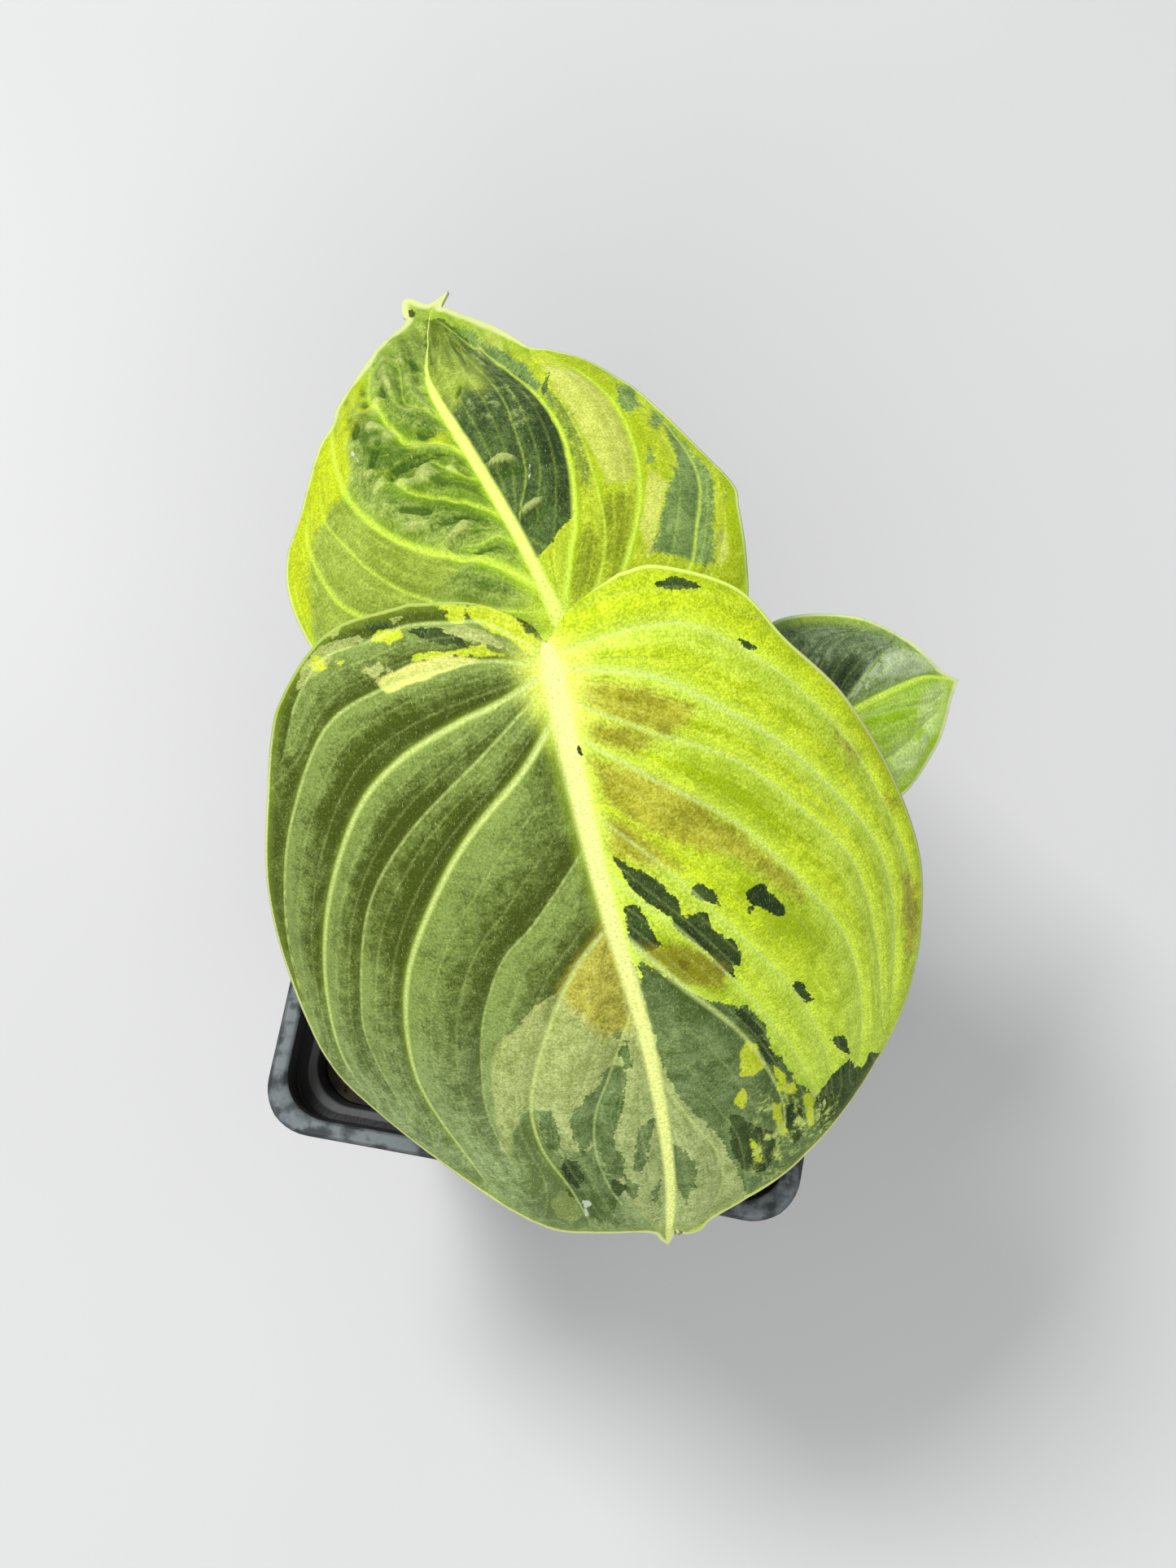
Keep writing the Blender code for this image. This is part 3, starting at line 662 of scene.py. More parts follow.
def press(blade, leaf, lines):
    """Bend the flat blade into its leaf, sunk along its veins and puffed up between them, and keep the
    numbers for its skin. Gives the share of the keel that each place has."""
    design, mesh = leaf.design, blade.data
    x, y, _ = read(mesh.vertices, "co", 3)
    wave = read(mesh.attributes["wave"].data, "value")[0]
    number, width, strength, paleness = veining(leaf, x, y)
    vein_gap = abs(number - np.rint(number)) * width
    side_gap = abs(number * SIDE_LINES - np.rint(number * SIDE_LINES)) * width / SIDE_LINES
    rib_gap, rib_along, rib_side = gap_to(x, y, leaf.midrib)
    edge_gap = np.min([gap_to(x, y, line)[0] for line in lines], axis=0)

    def groove(gap, breadth):
        return np.exp(-((gap / breadth) ** 2))

    before_tip = np.clip((1 - rib_along) * 8, 0, 1)
    off_rib = np.clip(rib_gap / 3 - 0.3, 0, 1)
    roomy = np.clip(width / 9, 0, 1.2)
    share = number - np.floor(number)
    rise = MIDRIB_RISE * groove(rib_gap, RISE_WIDTH) - MIDRIB_GROOVE * groove(rib_gap, GROOVE_WIDTH)
    rise -= VEIN_GROOVE * np.minimum(1, strength + 0.3) * groove(vein_gap, VEIN_WIDTH) * off_rib
    puffed = roomy * np.sin(math.pi * abs(share)) ** 1.5
    rise += design["puff"] * puffed * np.clip(edge_gap / 5, 0, 1) * off_rib
    rise -= SIDE_GROOVE * groove(side_gap, SIDE_WIDTH) * np.clip(width / 8, 0, 1) * off_rib
    rumple = design["rumple"](x, y)
    pucker = np.array([noise.noise((0.4 * a, 0.4 * b, 0.0)) for a, b in zip(x, y)])
    quilted = (1 - abs(2 * abs(share) - 1) ** 4) * roomy * off_rib
    relief = design["lumps"](x, y) + 0.4 * rumple * pucker
    rise += (0.7 * relief + 0.4 * rumple * quilted) * np.clip(edge_gap / 4, 0, 1)
    points = leaf.point(x, y, rise * before_tip + design["fold"](x, y) + wave)
    mesh.vertices.foreach_set("co", points.ravel())

    sinus = np.hypot(x - design["sinus"][0], y - design["sinus"][1])
    inwards = edge_gap / np.interp(y, *zip(*design["margins"])) + 2.5 * groove(sinus, 7)
    rib_half = np.interp(rib_along, *zip(*design["midrib_halves"]))
    found = {
        "x": x, "y": y, "number": number, "width": width, "strength": strength, "relief": relief,
        "rib": rib_gap * -rib_side / rib_half, "edge": inwards, "paleness": paleness,
    }
    for name, parts in KEPT.items():
        columns = np.zeros((len(x), 3))
        for place, part in enumerate(parts):
            outlines = design["patches"].get(part, ())
            columns[:, place] = found[part] if part in found else patch_depth(x, y, outlines)
        mesh.attributes.new(name, "FLOAT_VECTOR", "POINT").data.foreach_set("vector", columns.ravel())

    keel = groove(rib_gap, KEEL_WIDTH) * np.interp(rib_along, (0, 0.6, 1), (1, 0.6, 0.3))
    return np.maximum(keel, 0.3 * strength * groove(vein_gap, VEIN_KEEL_WIDTH))


def thicken(blade, keel_shares):
    """Give the sheet its thickness downwards, more of it along the keel and the strong veins."""
    alone(blade)
    bpy.ops.object.mode_set(mode="EDIT")
    bpy.ops.mesh.select_all(action="SELECT")
    bpy.ops.mesh.normals_make_consistent(inside=False)
    bpy.ops.object.mode_set(mode="OBJECT")
    if sum(face.normal.z for face in blade.data.polygons) < 0:
        blade.data.flip_normals()
    keel = blade.vertex_groups.new(name="keel")
    for vert, share in enumerate(keel_shares):
        if share > 0.01:
            keel.add([vert], float(share), "REPLACE")
    apply_modifier(
        blade,
        "SOLIDIFY",
        thickness=KEEL,
        offset=-1.0,
        vertex_group="keel",
        thickness_vertex_group=BLADE / KEEL,
        material_offset=1,
        material_offset_rim=0,
    )
    bpy.ops.object.shade_smooth()


def leaf_blade(name, leaf, columns, rows):
    """The whole blade: two flat halves joined, pressed into shape, and given their thickness."""
    blade, lines = flat_blade(name, leaf, columns, rows)
    thicken(blade, press(blade, leaf, lines))
    return blade


STEADY_SKIN = {"Roughness": 0.6, "Specular IOR Level": 0.1, "Sheen Weight": 0.03, "Sheen Roughness": 0.5}
# The hairs' pale colour, partly a painted glint on them
HAIR_AND_GLINT_GREEN, UNDERSIDE_GREEN = (0.50, 0.58, 0.30), (0.30, 0.40, 0.13)
LOBES = (14.0, -2.0)
FINE, COARSE, MIDDLING, BROAD = 4.5, 2.2, 0.6, 0.14
CELLS = 0.75
HAIR_STRETCH, HAIR_TURNS = (6.0, 1.3, 1.0), (0.5, 1.9)
VELVET_DEPTH = 0.12 * MM


class Velvet:
    """The skin of one leaf, worked out on the flat leaf and laid on in coats. Most tones are a deep and a
    pale colour, which the mottling mixes. The low tones take over along the leaf between the low places."""

    def __init__(self, name, tones, ragged, blur, low):
        self.skin, self.shader = finish(name, STEADY_SKIN)
        self.tones, self.ragged, self.blur = tones, ragged, blur
        self.flat = given(self.shader, "Attribute", "Vector", attribute_name="flat")
        self.number, self.width, self.strength = [self.kept(part) for part in KEPT["veining"]]
        self.along, self.paleness = self.kept("y"), self.kept("paleness")
        self.fine = grain(self.flat, FINE, detail=2, rough=0.6)
        self.coarse = grain(self.flat, COARSE, detail=3, rough=0.6)
        self.middling = grain(self.flat, MIDDLING, detail=3, rough=0.6)
        panels = node("CombineXYZ", {0: times(self.number, 5.0), 1: times(self.along, 0.22)})
        self.streaks = grain(panels, 1.0, detail=3)
        mottle = total(-1.55, (self.coarse, 0.9), (self.middling, 1.3), (self.streaks, 1.1))
        shade = fade(self.kept("shade"), 3.0, -3.0)
        self.mottle = total(mottle, (grain(self.flat, BROAD), 0.8), (shade, -0.5))
        cells = node("TexVoronoi", {"Vector": self.flat, "Scale": CELLS}, distance="CHEBYCHEV").node
        cell = node("SeparateColor", {0: cells.outputs["Color"]})
        uneven = total(-1.85, (cell, 0.5), (self.middling, 1.1), (self.coarse, 1.1))
        self.uneven = total(uneven, (self.streaks, 1.0))
        self.lowness = fade(self.along, *low)
        self.to_tip = times(self.lowness, 0.6)
        self.side = fade(self.kept("rib"), -0.1, 0.1)
        self.around = blend(self.side, tones["halo"], tones["lime_halo"])
        self.rib = calc("ABSOLUTE", self.kept("rib"))
        self.off_rib = fade(self.rib, 0.7, 1.6)
        self.off_vein = times(self.off_whole(self.number), self.width)
        self.vein_gap = total(-0.2, (calc("ABSOLUTE", self.off_vein), 1.0), (self.coarse, 0.4))
        side_gap = calc("ABSOLUTE", self.off_whole(times(self.number, SIDE_LINES)))
        side_line = fade(times(times(side_gap, self.width), 1 / SIDE_LINES), 0.35, 0.05)
        self.side_line = times(side_line, times(self.off_rib, self.coarse))
        self.colour = None

    def kept(self, part):
        """A number that the mesh keeps for its skin."""
        name = next(name for name, parts in KEPT.items() if part in parts)
        vector = given(self.shader, "Attribute", "Vector", attribute_name=name)
        return axis_of(vector, "XYZ"[KEPT[name].index(part)])

    def off_whole(self, value):
        """How far above or below the nearest whole number the value is."""
        return calc("SUBTRACT", value, calc("ROUND", value))

    def tone(self, kind, share=None):
        """The deep and the pale colour of a kind, mixed by the mottling or by the share given."""
        deep, pale = self.tones[kind]
        return blend(fade(self.mottle if share is None else share, -0.12, 1.12), deep, pale)

    def lay(self, over, share, amount=1.0):
        """Another coat over the colour so far."""
        self.colour = blend(times(share, amount), self.colour, over)

    def patch(self, kind, over, softness=0.08, amount=1.0, unevenness=1.0, grown=0.0):
        """A coat inside that kind's outlines, with ragged edges."""
        depth = total(-grown, (self.kept(kind), 1.0), (self.uneven, unevenness * self.ragged))
        self.lay(over, fade(depth, softness, -softness), amount)

    def ground(self):
        """The two halves, going over to the low tones, with a halo beside the veins and the midrib. Each
        panel is
        lighter on the flank inside its vein: partly its own tone, partly painted velvet sheen.
        """
        side, low = self.side, blend(self.side, self.tone("low"), self.tone("lime_low"))
        # Paler flank inside each vein: partly the tissue's own tone, partly painted velvet sheen
        outer = fade(total(-0.4, (self.paleness, 0.9), (self.mottle, 0.5)), 0, 1)
        right = blend(times(outer, 0.7), self.tone("right"), self.tone("lime_low"))
        banded = total(-0.4, (self.mottle, 1.0), (self.paleness, 0.8))
        self.colour = blend(side, self.tone("left", banded), right)
        self.lay(low, self.to_tip)
        halo = fade(self.vein_gap, total(1.5, (side, 1.3)), 0.0)
        halo = times(halo, calc("POWER", self.strength, total(1.7, (side, -1.0))))
        before = total(0.25, (fade(self.off_vein, 0.3, -0.3), 0.4), (side, 0.2))
        self.lay(self.around, times(halo, self.off_rib), before)
        self.lay(self.around, fade(total(-0.4, (self.rib, 1.0), (self.coarse, 0.8)), 2.4, 0.9), 0.7)

    def patches(self):
        """The patches that the sport's other cells make, and the stains over them."""
        blur, tone = self.blur, self.tone
        khaki = blend(times(self.lowness, 0.45), tone("khaki"), tone("low"))
        self.patch("khaki", khaki, softness=blur)
        self.patch("sector", tone("sector"), softness=blur)
        self.patch("dark", tone("dark"), unevenness=0.7, grown=0.15)
        self.patch("lime", tone("lime"), softness=blur * 2)
        flecks = fade(total(0.0, (self.middling, 0.6), (self.streaks, 0.6), (self.coarse, 0.2)), 0.68, 0.86)
        self.lay(tone("fleck"), flecks, fade(self.kept("fleck"), 1.5, -1.5))
        self.patch("cream", tone("cream"), softness=blur * 3, unevenness=0.6)
        self.patch("tan", tone("tan"), softness=1.2, amount=0.8)
        self.patch("glow", tone("glow"), softness=3.5, unevenness=0.3)

    def relief(self):
        """Painted light on the blisters: a painted highlight on their tops and painted shade in the creases
        between them.
        """
        height = total(-0.15, (self.kept("relief"), 1.0), (self.coarse, 0.3))
        # Painted highlight on the blister tops
        self.lay(self.tones["painted_highlight"], fade(height, 0.25, 1.3), 0.65)
        # Painted shade in the creases between the blisters
        self.lay(self.tones["painted_crease_shade"], fade(height, -0.1, -0.8), 0.85)

    def veins(self):
        """The side lines, the veins, which thin towards the tip, and the downy midrib."""
        vein, strength = self.tones["vein"], self.strength
        self.lay(vein, self.side_line, 0.2)
        breadth = times(strength, total(1.0, (self.to_tip, -0.9)))
        breadth = total(0.14, (breadth, 0.3), (times(breadth, self.side), 0.2))
        line = fade(calc("DIVIDE", self.vein_gap, breadth), 1.7, 0.2)
        line = times(line, total(-0.05, (strength, 0.7), (self.coarse, 0.4)))
        self.lay(vein, times(line, self.off_rib), fade(strength, 0.0, 0.25))
        downy = blend(times(fade(self.coarse, 0.65, 0.35), 0.5), self.tones["rib"], vein)
        self.lay(downy, fade(total(-0.3, (self.rib, 1.0), (self.coarse, 0.6)), 1.3, 0.4))

    def nap(self):
        """Specks, short pale hairs lying two ways, and the grain of the velvet itself. The hair streaks are
        partly the hairs' own pale colour and partly a painted glint where they catch the light.
        """
        self.lay(self.tones["speck"], fade(grain(self.flat, 2.8, detail=1), 0.6, 0.75), 0.35)
        # Pale hair streaks: partly the hairs' own colour, partly painted glint
        for turn in HAIR_TURNS:
            hairs = grain(stretch(self.flat, HAIR_STRETCH, turn), 1.0, detail=1)
            self.lay(HAIR_AND_GLINT_GREEN, fade(hairs, 0.66, 0.76), 0.35)
        uneven = total(0.0, (self.coarse, 1.1), (self.fine, 0.9))
        self.colour = node("VectorMath", {0: self.colour, 3: uneven}, operation="SCALE")

    def margin(self):
        """The pale margin, greener on the lobes, and the scars and burns over everything."""
        tones = self.tones
        edge = total(-0.2, (self.kept("edge"), 1.0), (self.coarse, 0.4))
        self.lay(tones["halo"], fade(edge, 2.2, 0.4), 0.3)
        pale_edge = blend(times(fade(self.along, *LOBES), 0.7), tones["margin"], self.around)
        self.lay(pale_edge, fade(edge, 0.6, 0.3))
        self.patch("scar", tones["scar"], unevenness=0.4, amount=0.8)
        self.patch("burn", tones["burn"], unevenness=0.3)


def leaf_skin(name, tones, ragged=1.0, blur=0.08, low=(40, 88), underside=False):
    """A leaf's skin with all its coats. The underside is the same skin under a paler film."""
    velvet = Velvet(name, tones, ragged, blur, low)
    for coat in (velvet.ground, velvet.patches, velvet.relief, velvet.veins, velvet.nap, velvet.margin):
        coat()
    film = blend(0.5, velvet.colour, UNDERSIDE_GREEN) if underside else velvet.colour
    plug(velvet.shader, "Base Color", film)
    height = total(0.0, (velvet.fine, 0.6), (velvet.coarse, 0.6), (velvet.side_line, -0.5))
    bump(velvet.shader, height, VELVET_DEPTH)
    return velvet.skin


def dress(blade, tones, **mottling):
    """Give a blade its velvet above and round its margin, and the paler skin below."""
    leaf = blade.name.removesuffix("blade")
    above = leaf_skin(leaf + "velvet", tones, **mottling)
    below = leaf_skin(leaf + "underside", tones, underside=True, **mottling)
    put_on(blade, above, below)


# The front leaf, the largest: its left half is dark olive velvet and its right half lime, and both
# meet khaki and dark sectors towards the tip, where the sport's cell lines cross the midrib.
FRONT_PATCHES = {
    "dark": (
        ((3.5, 28), (9, 33), (11.5, 37), (12, 40.5), (14, 40), (15.5, 41), (15.5, 43.5), (18.5, 46.5),
         (19.5, 49.5), (19, 51), (17.5, 50.5), (18, 53), (15.5, 50), (15, 47.5), (11, 42), (10, 39),
         (6.5, 35.5)),
        ((3.8, 36), (5.5, 36), (7, 40.5), (8, 43.5), (5.5, 44), (4, 42)),
        ((13.8, 36), (15.5, 35.5), (17, 38), (17.5, 40), (14.3, 37.8)),
        ((21.8, 39.3), (24.5, 38.8), (25.5, 41), (27.3, 44), (27.5, 45.5), (26, 45), (24, 42.5), (22, 41)),
        ((21.2, 41.6), (22.4, 42.2), (21.8, 43)),
        ((10.2, 46.5), (11.5, 47.5), (10.8, 48.5)),
        ((27, 58.5), (28.5, 58.8), (29, 61), (30.3, 64), (29, 63.5), (27.8, 61)),
        ((32.3, 73), (34, 73.5), (35.2, 75), (35.5, 79), (34, 77)),
        ((29, 84.5), (31.5, 83), (33, 81.5), (35.5, 80.5), (36.5, 84), (38, 86), (40, 83), (42, 85.5),
         (38, 90), (33, 94), (30, 95), (28.5, 89)),
        ((14, 78), (16, 80), (18, 84), (20, 86), (21, 92), (18, 94.5), (15, 92.5), (13.5, 86)),
        ((23.5, 82), (25.5, 85), (26, 90), (24, 92.5), (23, 88)),
        ((17, 58), (19.5, 60), (21, 66), (23, 74), (21.5, 72), (19.5, 65)),
        ((17, -8.5), (20, -9), (23, -7), (19, -7.3)),
        ((-17.5, -9.3), (-14, -8.8), (-11.5, -7), (-9.8, -5.6), (-13, -6.2), (-16, -8.2)),
        ((-23.5, -12), (-20.5, -11), (-19.5, -9.9), (-22.5, -10.4)),
        ((-9, -10.4), (-6.5, -9.2), (-5.5, -8), (-8, -8.8)),
        ((-12.2, 80), (-10.2, 80.5), (-9.8, 84), (-11, 88), (-12.3, 85)),
        ((-5.2, 86.5), (-3.6, 88.5), (-4.6, 91.5), (-6, 90)),
        ((27.5, 2), (30, 4), (28.5, 3.8)),
    ),
    "sector": (
        ((4.5, 45), (9, 50.5), (13, 55), (17, 57.5), (20, 59.5), (21.5, 64), (22, 69), (24, 73),
         (25, 77.5), (27, 81), (28.5, 85), (31.5, 83), (33, 82), (35.5, 81), (36.5, 84), (38, 86),
         (40, 84), (41.5, 85.5), (38, 90), (33, 94), (28, 96), (22, 98.5), (15, 100), (14.5, 95),
         (13.5, 90), (12, 83.5), (9.5, 77.5), (6.5, 71), (5, 64), (4.5, 57.5), (4, 50.5)),
        ((-10, 71), (-7, 67.5), (-5, 66), (-3.5, 63), (-1, 62.5), (-0.5, 65), (-1.5, 70), (-3.5, 75),
         (-4, 79), (-3, 83), (-4.5, 88), (-6, 89), (-6, 83), (-7, 78), (-9, 78.5), (-10, 75)),
        ((-14.4, 69.2), (-12.2, 68.8), (-11.9, 73), (-12.3, 78), (-13.8, 77.8), (-14.6, 73)),
        ((-12, 80), (-9, 79), (-7, 83), (-5.5, 88), (-6, 96), (-9, 97), (-12, 90), (-13, 84)),
        ((0.2, 75.5), (2.9, 75), (1.4, 80), (-0.8, 86), (-2.2, 84), (-1, 79)),
        ((-1, 56), (0.3, 55), (0, 58), (-1.5, 58)),
        ((-0.8, 60), (0.6, 59), (0.8, 64), (-0.5, 63.5)),
        ((4.2, 81.5), (6, 83), (8, 88), (6.8, 92), (5.2, 97), (4.2, 92)),
        ((0, 92), (2, 89.5), (0.5, 95)),
        ((-3.5, 86), (-1.5, 88.5), (-2.5, 92), (-4, 91)),
    ),
    "shade": (
        ((-14, 14), (-20, 13), (-28, 17), (-34, 28), (-35, 40), (-30, 40), (-25, 31), (-19, 25),
         (-14, 19)),
        ((-6, 1), (-14, 3), (-23, 6), (-30, 11), (-36, 20), (-39, 18), (-33, 8), (-24, 1), (-12, 0)),
        ((-2, 8), (-7, 14), (-5, 18), (-1, 14)),
        ((14, 12), (24, 20), (31, 31), (28, 34), (20, 26)),
        ((13, 55.5), (19, 60), (24, 74), (29, 86), (24, 86), (20, 72), (17, 63)),
        ((20, 34), (30, 46), (34, 56), (30, 56), (24, 46)),
        ((-20, 74), (-15, 72), (-12, 82), (-8, 90), (-5, 98), (-12, 99), (-18, 91)),
        ((3, 41), (12, 43), (19, 51), (16, 56), (9, 53), (4, 47)),
    ),
    "fleck": (
        ((19, 76), (25, 78), (29, 84), (33, 88), (31, 95), (22, 98), (16, 98), (17, 86)),
    ),
    "lime": (
        ((17, 66.5), (18.5, 65), (20, 67.5), (19.8, 70), (21, 72.5), (18.8, 72.5), (16.4, 71)),
        ((15.4, 74.5), (16.6, 74), (17, 76.5), (16.2, 78), (15, 77)),
        ((22, 72), (23.5, 75), (23.8, 79.5), (22.3, 77)),
        ((20.8, 80), (22.3, 82), (23, 90), (21.5, 89)),
        ((16.5, 85), (18, 88), (18, 92.5), (16.8, 91)),
        ((22, 78), (25, 78), (25.5, 81), (23.5, 80.5)),
        ((26.5, 82), (28.3, 84), (27.8, 91), (26.5, 90)),
        ((-13.5, -12), (-11.8, -12), (-9.3, -11.2), (-6, -10.5), (-3, -8), (-0.5, -4), (-2, -2.5),
         (-4.5, -5.5), (-8.5, -8.5), (-9.3, -10.2), (-10, -8.7), (-11.3, -9), (-12, -10.8)),
        ((-23.2, -9), (-22, -10), (-19, -9.7), (-18.6, -8.7), (-20, -8.3), (-20.7, -7.8), (-21.2, -8.7)),
        ((-33.6, -7.6), (-31.8, -8.8), (-30.8, -8), (-31, -6.2), (-32.5, -6.4)),
        ((-29.4, -7.4), (-27.8, -7), (-28.6, -5.9)),
        ((-18, -5), (-17, -5.8), (-13, -5.2), (-8, -5.2), (-5, -2.8), (-12, -4.6)),
    ),
    "khaki": (
        ((1, 37), (-1.5, 40.5), (-5, 44), (-7.5, 47.5), (-12, 49.5), (-14, 52), (-18, 55.5), (-20, 60),
         (-20.5, 65), (-21, 72), (-21.5, 79.5), (-19.8, 79), (-18.5, 73), (-16.5, 70), (-12.3, 69.5),
         (-12.2, 77.5), (-8, 79), (-6.3, 78), (-5.5, 82), (-5.2, 88), (-3, 95), (-1, 100), (0.5, 105.5),
         (4, 106), (10, 102.5), (16, 99.5), (16.5, 95), (15.5, 90), (14, 83.5), (11.5, 77.5), (8.5, 71),
         (7, 64), (6.5, 57.5), (5, 49.5), (2.5, 42)),
        ((-15.5, 90), (-13.5, 88), (-11.5, 90), (-11, 95), (-13, 97), (-15, 94)),
        ((-13.5, -8.5), (-10.5, -8.5), (-7.5, -7), (-3.5, -3), (-8, -5.3), (-12.5, -7.3)),
        ((-20.5, -11.2), (-18.2, -11.2), (-19.5, -10.5)),
        ((-25.5, -5), (-22.5, -6), (-21.5, -4.3), (-24, -3.7)),
        ((-37, -3), (-34.5, -7.5), (-31, -9.9), (-27, -10.3), (-23.5, -9.6), (-29, -8.4), (-31, -6.3),
         (-34.5, -5)),
        ((-30.5, -11.8), (-27, -12.6), (-27.5, -11), (-30, -10.8)),
    ),
    "cream": (
        ((-24, -3), (-19, -4.6), (-13, -4.7), (-8.8, -3.4), (-13, -2.6), (-20, -1.5), (-22.5, -0.9)),
    ),
    "tan": (
        ((2, 1.5), (8, 3), (14, 6), (19, 10), (15, 13), (9, 9.5), (3, 5.5)),
        ((3, 7.5), (9, 9.8), (13.5, 13.2), (9, 13.8), (4, 11)),
        ((3, 13), (9, 16), (16, 22), (26, 35), (31, 43), (30.5, 45), (21, 33), (14, 29), (8, 24), (4, 20)),
        ((3.5, 21.5), (8, 25), (13, 32.5), (8.5, 31), (3.5, 27)),
        ((5, 42.5), (11.5, 44.5), (17, 50.5), (16, 54), (10.5, 51), (6, 46)),
        ((41, 21), (43.5, 24.5), (45.5, 27.5), (44, 28)),
        ((49, 35.5), (52, 38.5), (50, 38.5)),
        ((51, 51.5), (54, 56), (54.5, 62), (52, 69.5), (50, 70)),
        ((1, 37), (-5.5, 44), (-7.5, 46.5), (-7, 49.5), (-5, 52), (-2.5, 56.5), (2, 57), (2, 44)),
    ),
    "glow": (
        ((-3.5, -2.5), (2, -3.5), (5, 0), (4, 5), (0.5, 12), (-3, 4)),
    ),
    "scar": (
        ((-10.8, 91), (-9.6, 90.8), (-9.2, 92), (-10, 92.8), (-10.2, 96), (-10.6, 96), (-10.5, 92.5)),
    ),
    "burn": (
        ((1.6, 10.8), (2.2, 11.2), (2.4, 12.8), (1.9, 13)),
    ),
}
FRONT_LEAF = {
    "attach": Vector((-7.5, 21.9, 172)) * MM,
    "heading": 23,
    "slopes": ((-20, 0), (0, 22), (106, 60)),
    "roll": 0,
    "half": 50,
    "droop": (45, 40),
    "wave": 0.9,
    "puff": 0.4,
    "lumps": lambda x, y: 0 * x,
    "fold": lambda x, y: 0 * x,
    "rumple": lambda x, y: 0.3 + 0 * x,
    "back_share": 10 / 34,
    "sinus": (0.5, -3.5),
    "midrib": ((0.7, 16), (1.6, 36), (3.6, 62), (3.4, 89), (1.3, 108.3)),
    "midrib_halves": ((0, 0.8), (0.03, 1.9), (0.12, 1.75), (0.35, 1.35), (0.9, 0.85), (1, 0.4)),
    "margins": ((0, 1), (80, 1), (100, 1.4)),
    "left": (
        (-1.5, -7), (-8, -11), (-17, -13), (-30, -11.5), (-40.5, -1), (-47, 15), (-51.5, 31), (-52, 47),
        (-48, 65), (-40, 76), (-28, 87), (-17, 98.2), (-10, 100.7), (-3.5, 102.2), (-0.6, 104),
        (0.2, 106.2), (1.3, 108.3),
    ),
    "right": (
        (4.5, -7.6), (12, -11), (18, -11), (28.6, -5.6), (35, 4), (44, 16), (52, 34), (56, 53), (54.5, 68),
        (47, 80), (37, 91.5), (25, 97.6), (15, 101.2), (8.8, 103.8), (7.2, 105.9), (5.2, 106.4),
        (3.7, 105.6), (3.0, 104.2), (2.4, 105.8), (1.3, 108.3),
    ),
    "veins_left": (
        (0.45, ((-1, -3), (-7, -8), (-11, -9), (-18, -10), (-24, -9), (-31, -8), (-36, -3), (-40, 4))),
        (0.5, ((-1, -1), (-8, -3), (-14, -3), (-22, -2), (-33, 3), (-42, 16), (-47, 28), (-50, 42),
               (-50, 58))),
        (0.95, ((0, 0), (-7, 3), (-14, 5), (-23, 9), (-31, 16), (-39, 30), (-44, 46), (-45, 61),
                (-42, 71))),
        (0.3, ((-1, 2), (-10, 9), (-24, 20), (-33, 32), (-38, 48), (-39, 58), (-36, 72))),
        (1.0, ((0, 6), (-6, 13), (-15, 21), (-22, 30), (-29, 43), (-32, 57), (-31, 70), (-24, 89))),
        (0.2, ((0, 26), (-9, 36), (-15, 42), (-20, 54), (-22, 70), (-20, 82))),
        (0.8, ((2, 38), (-5, 45), (-11, 56), (-15, 68), (-15, 78), (-12, 88), (-10, 98))),
        (0.35, ((2, 54), (-3, 65), (-6, 72), (-7, 80), (-6, 89), (-4, 96))),
    ),
    "veins_right": (
        (0.4, ((1, -2), (9, -3), (15, -3), (22, -1), (34, 10), (44, 25), (52, 48), (53, 62))),
        (0.6, ((1, 0), (9, 2), (17, 6), (31, 19), (42, 35), (47, 47), (48, 62), (44, 80))),
        (0.4, ((1, 4), (12, 11.5), (24, 19.5), (34, 32), (41, 44), (43.5, 60), (43, 79))),
        (0.5, ((1, 9), (11, 18), (22.5, 29), (32, 44), (38, 58), (39, 72), (37, 86))),
        (0.35, ((1, 20), (10, 31), (19, 45), (27, 60), (31, 74), (32, 86))),
        (0.4, ((1.5, 29), (6.5, 36), (12, 43.5), (20, 58), (26, 73), (29, 85))),
        (0.75, ((2.5, 40), (9, 50), (17, 62.5), (21, 73), (23, 83), (22, 92))),
        (0.45, ((4, 66), (8, 78), (11, 86), (11.5, 94), (9, 101))),
    ),
    "patches": FRONT_PATCHES,
}
FRONT_TONES = {
    "left": ((0.040, 0.060, 0.001), (0.176, 0.240, 0.052)),
    "right": ((0.26, 0.36, 0.001), (0.56, 0.69, 0.016)),
    "low": ((0.115, 0.17, 0.05), (0.35, 0.455, 0.215)),
    "lime_low": ((0.30, 0.43, 0.02), (0.50, 0.66, 0.10)),
    "dark": ((0.010, 0.024, 0.003), (0.052, 0.086, 0.014)),
    "sector": ((0.045, 0.08, 0.012), (0.17, 0.24, 0.085)),
    "lime": ((0.36, 0.44, 0.004), (0.58, 0.65, 0.06)),
    "khaki": ((0.19, 0.235, 0.05), (0.42, 0.46, 0.15)),
    "cream": ((0.48, 0.49, 0.11), (0.66, 0.66, 0.19)),
    "tan": ((0.16, 0.13, 0.003), (0.43, 0.39, 0.035)),
    "glow": ((0.60, 0.72, 0.06), (0.74, 0.82, 0.15)),
    # Painted highlight on the blister tops, then painted shade in their creases
    "painted_highlight": (0.50, 0.60, 0.12),
    "painted_crease_shade": (0.05, 0.08, 0.002),
    "halo": (0.22, 0.31, 0.014),
    "lime_halo": (0.58, 0.75, 0.09),
    "vein": (0.48, 0.58, 0.17),
    "rib": (0.76, 0.81, 0.25),
    "speck": (0.13, 0.20, 0.003),
    "margin": (0.52, 0.57, 0.22),
    "fleck": ((0.20, 0.28, 0.04), (0.46, 0.55, 0.13)),
    "scar": (0.50, 0.55, 0.44),
    "burn": (0.03, 0.025, 0.01),
}
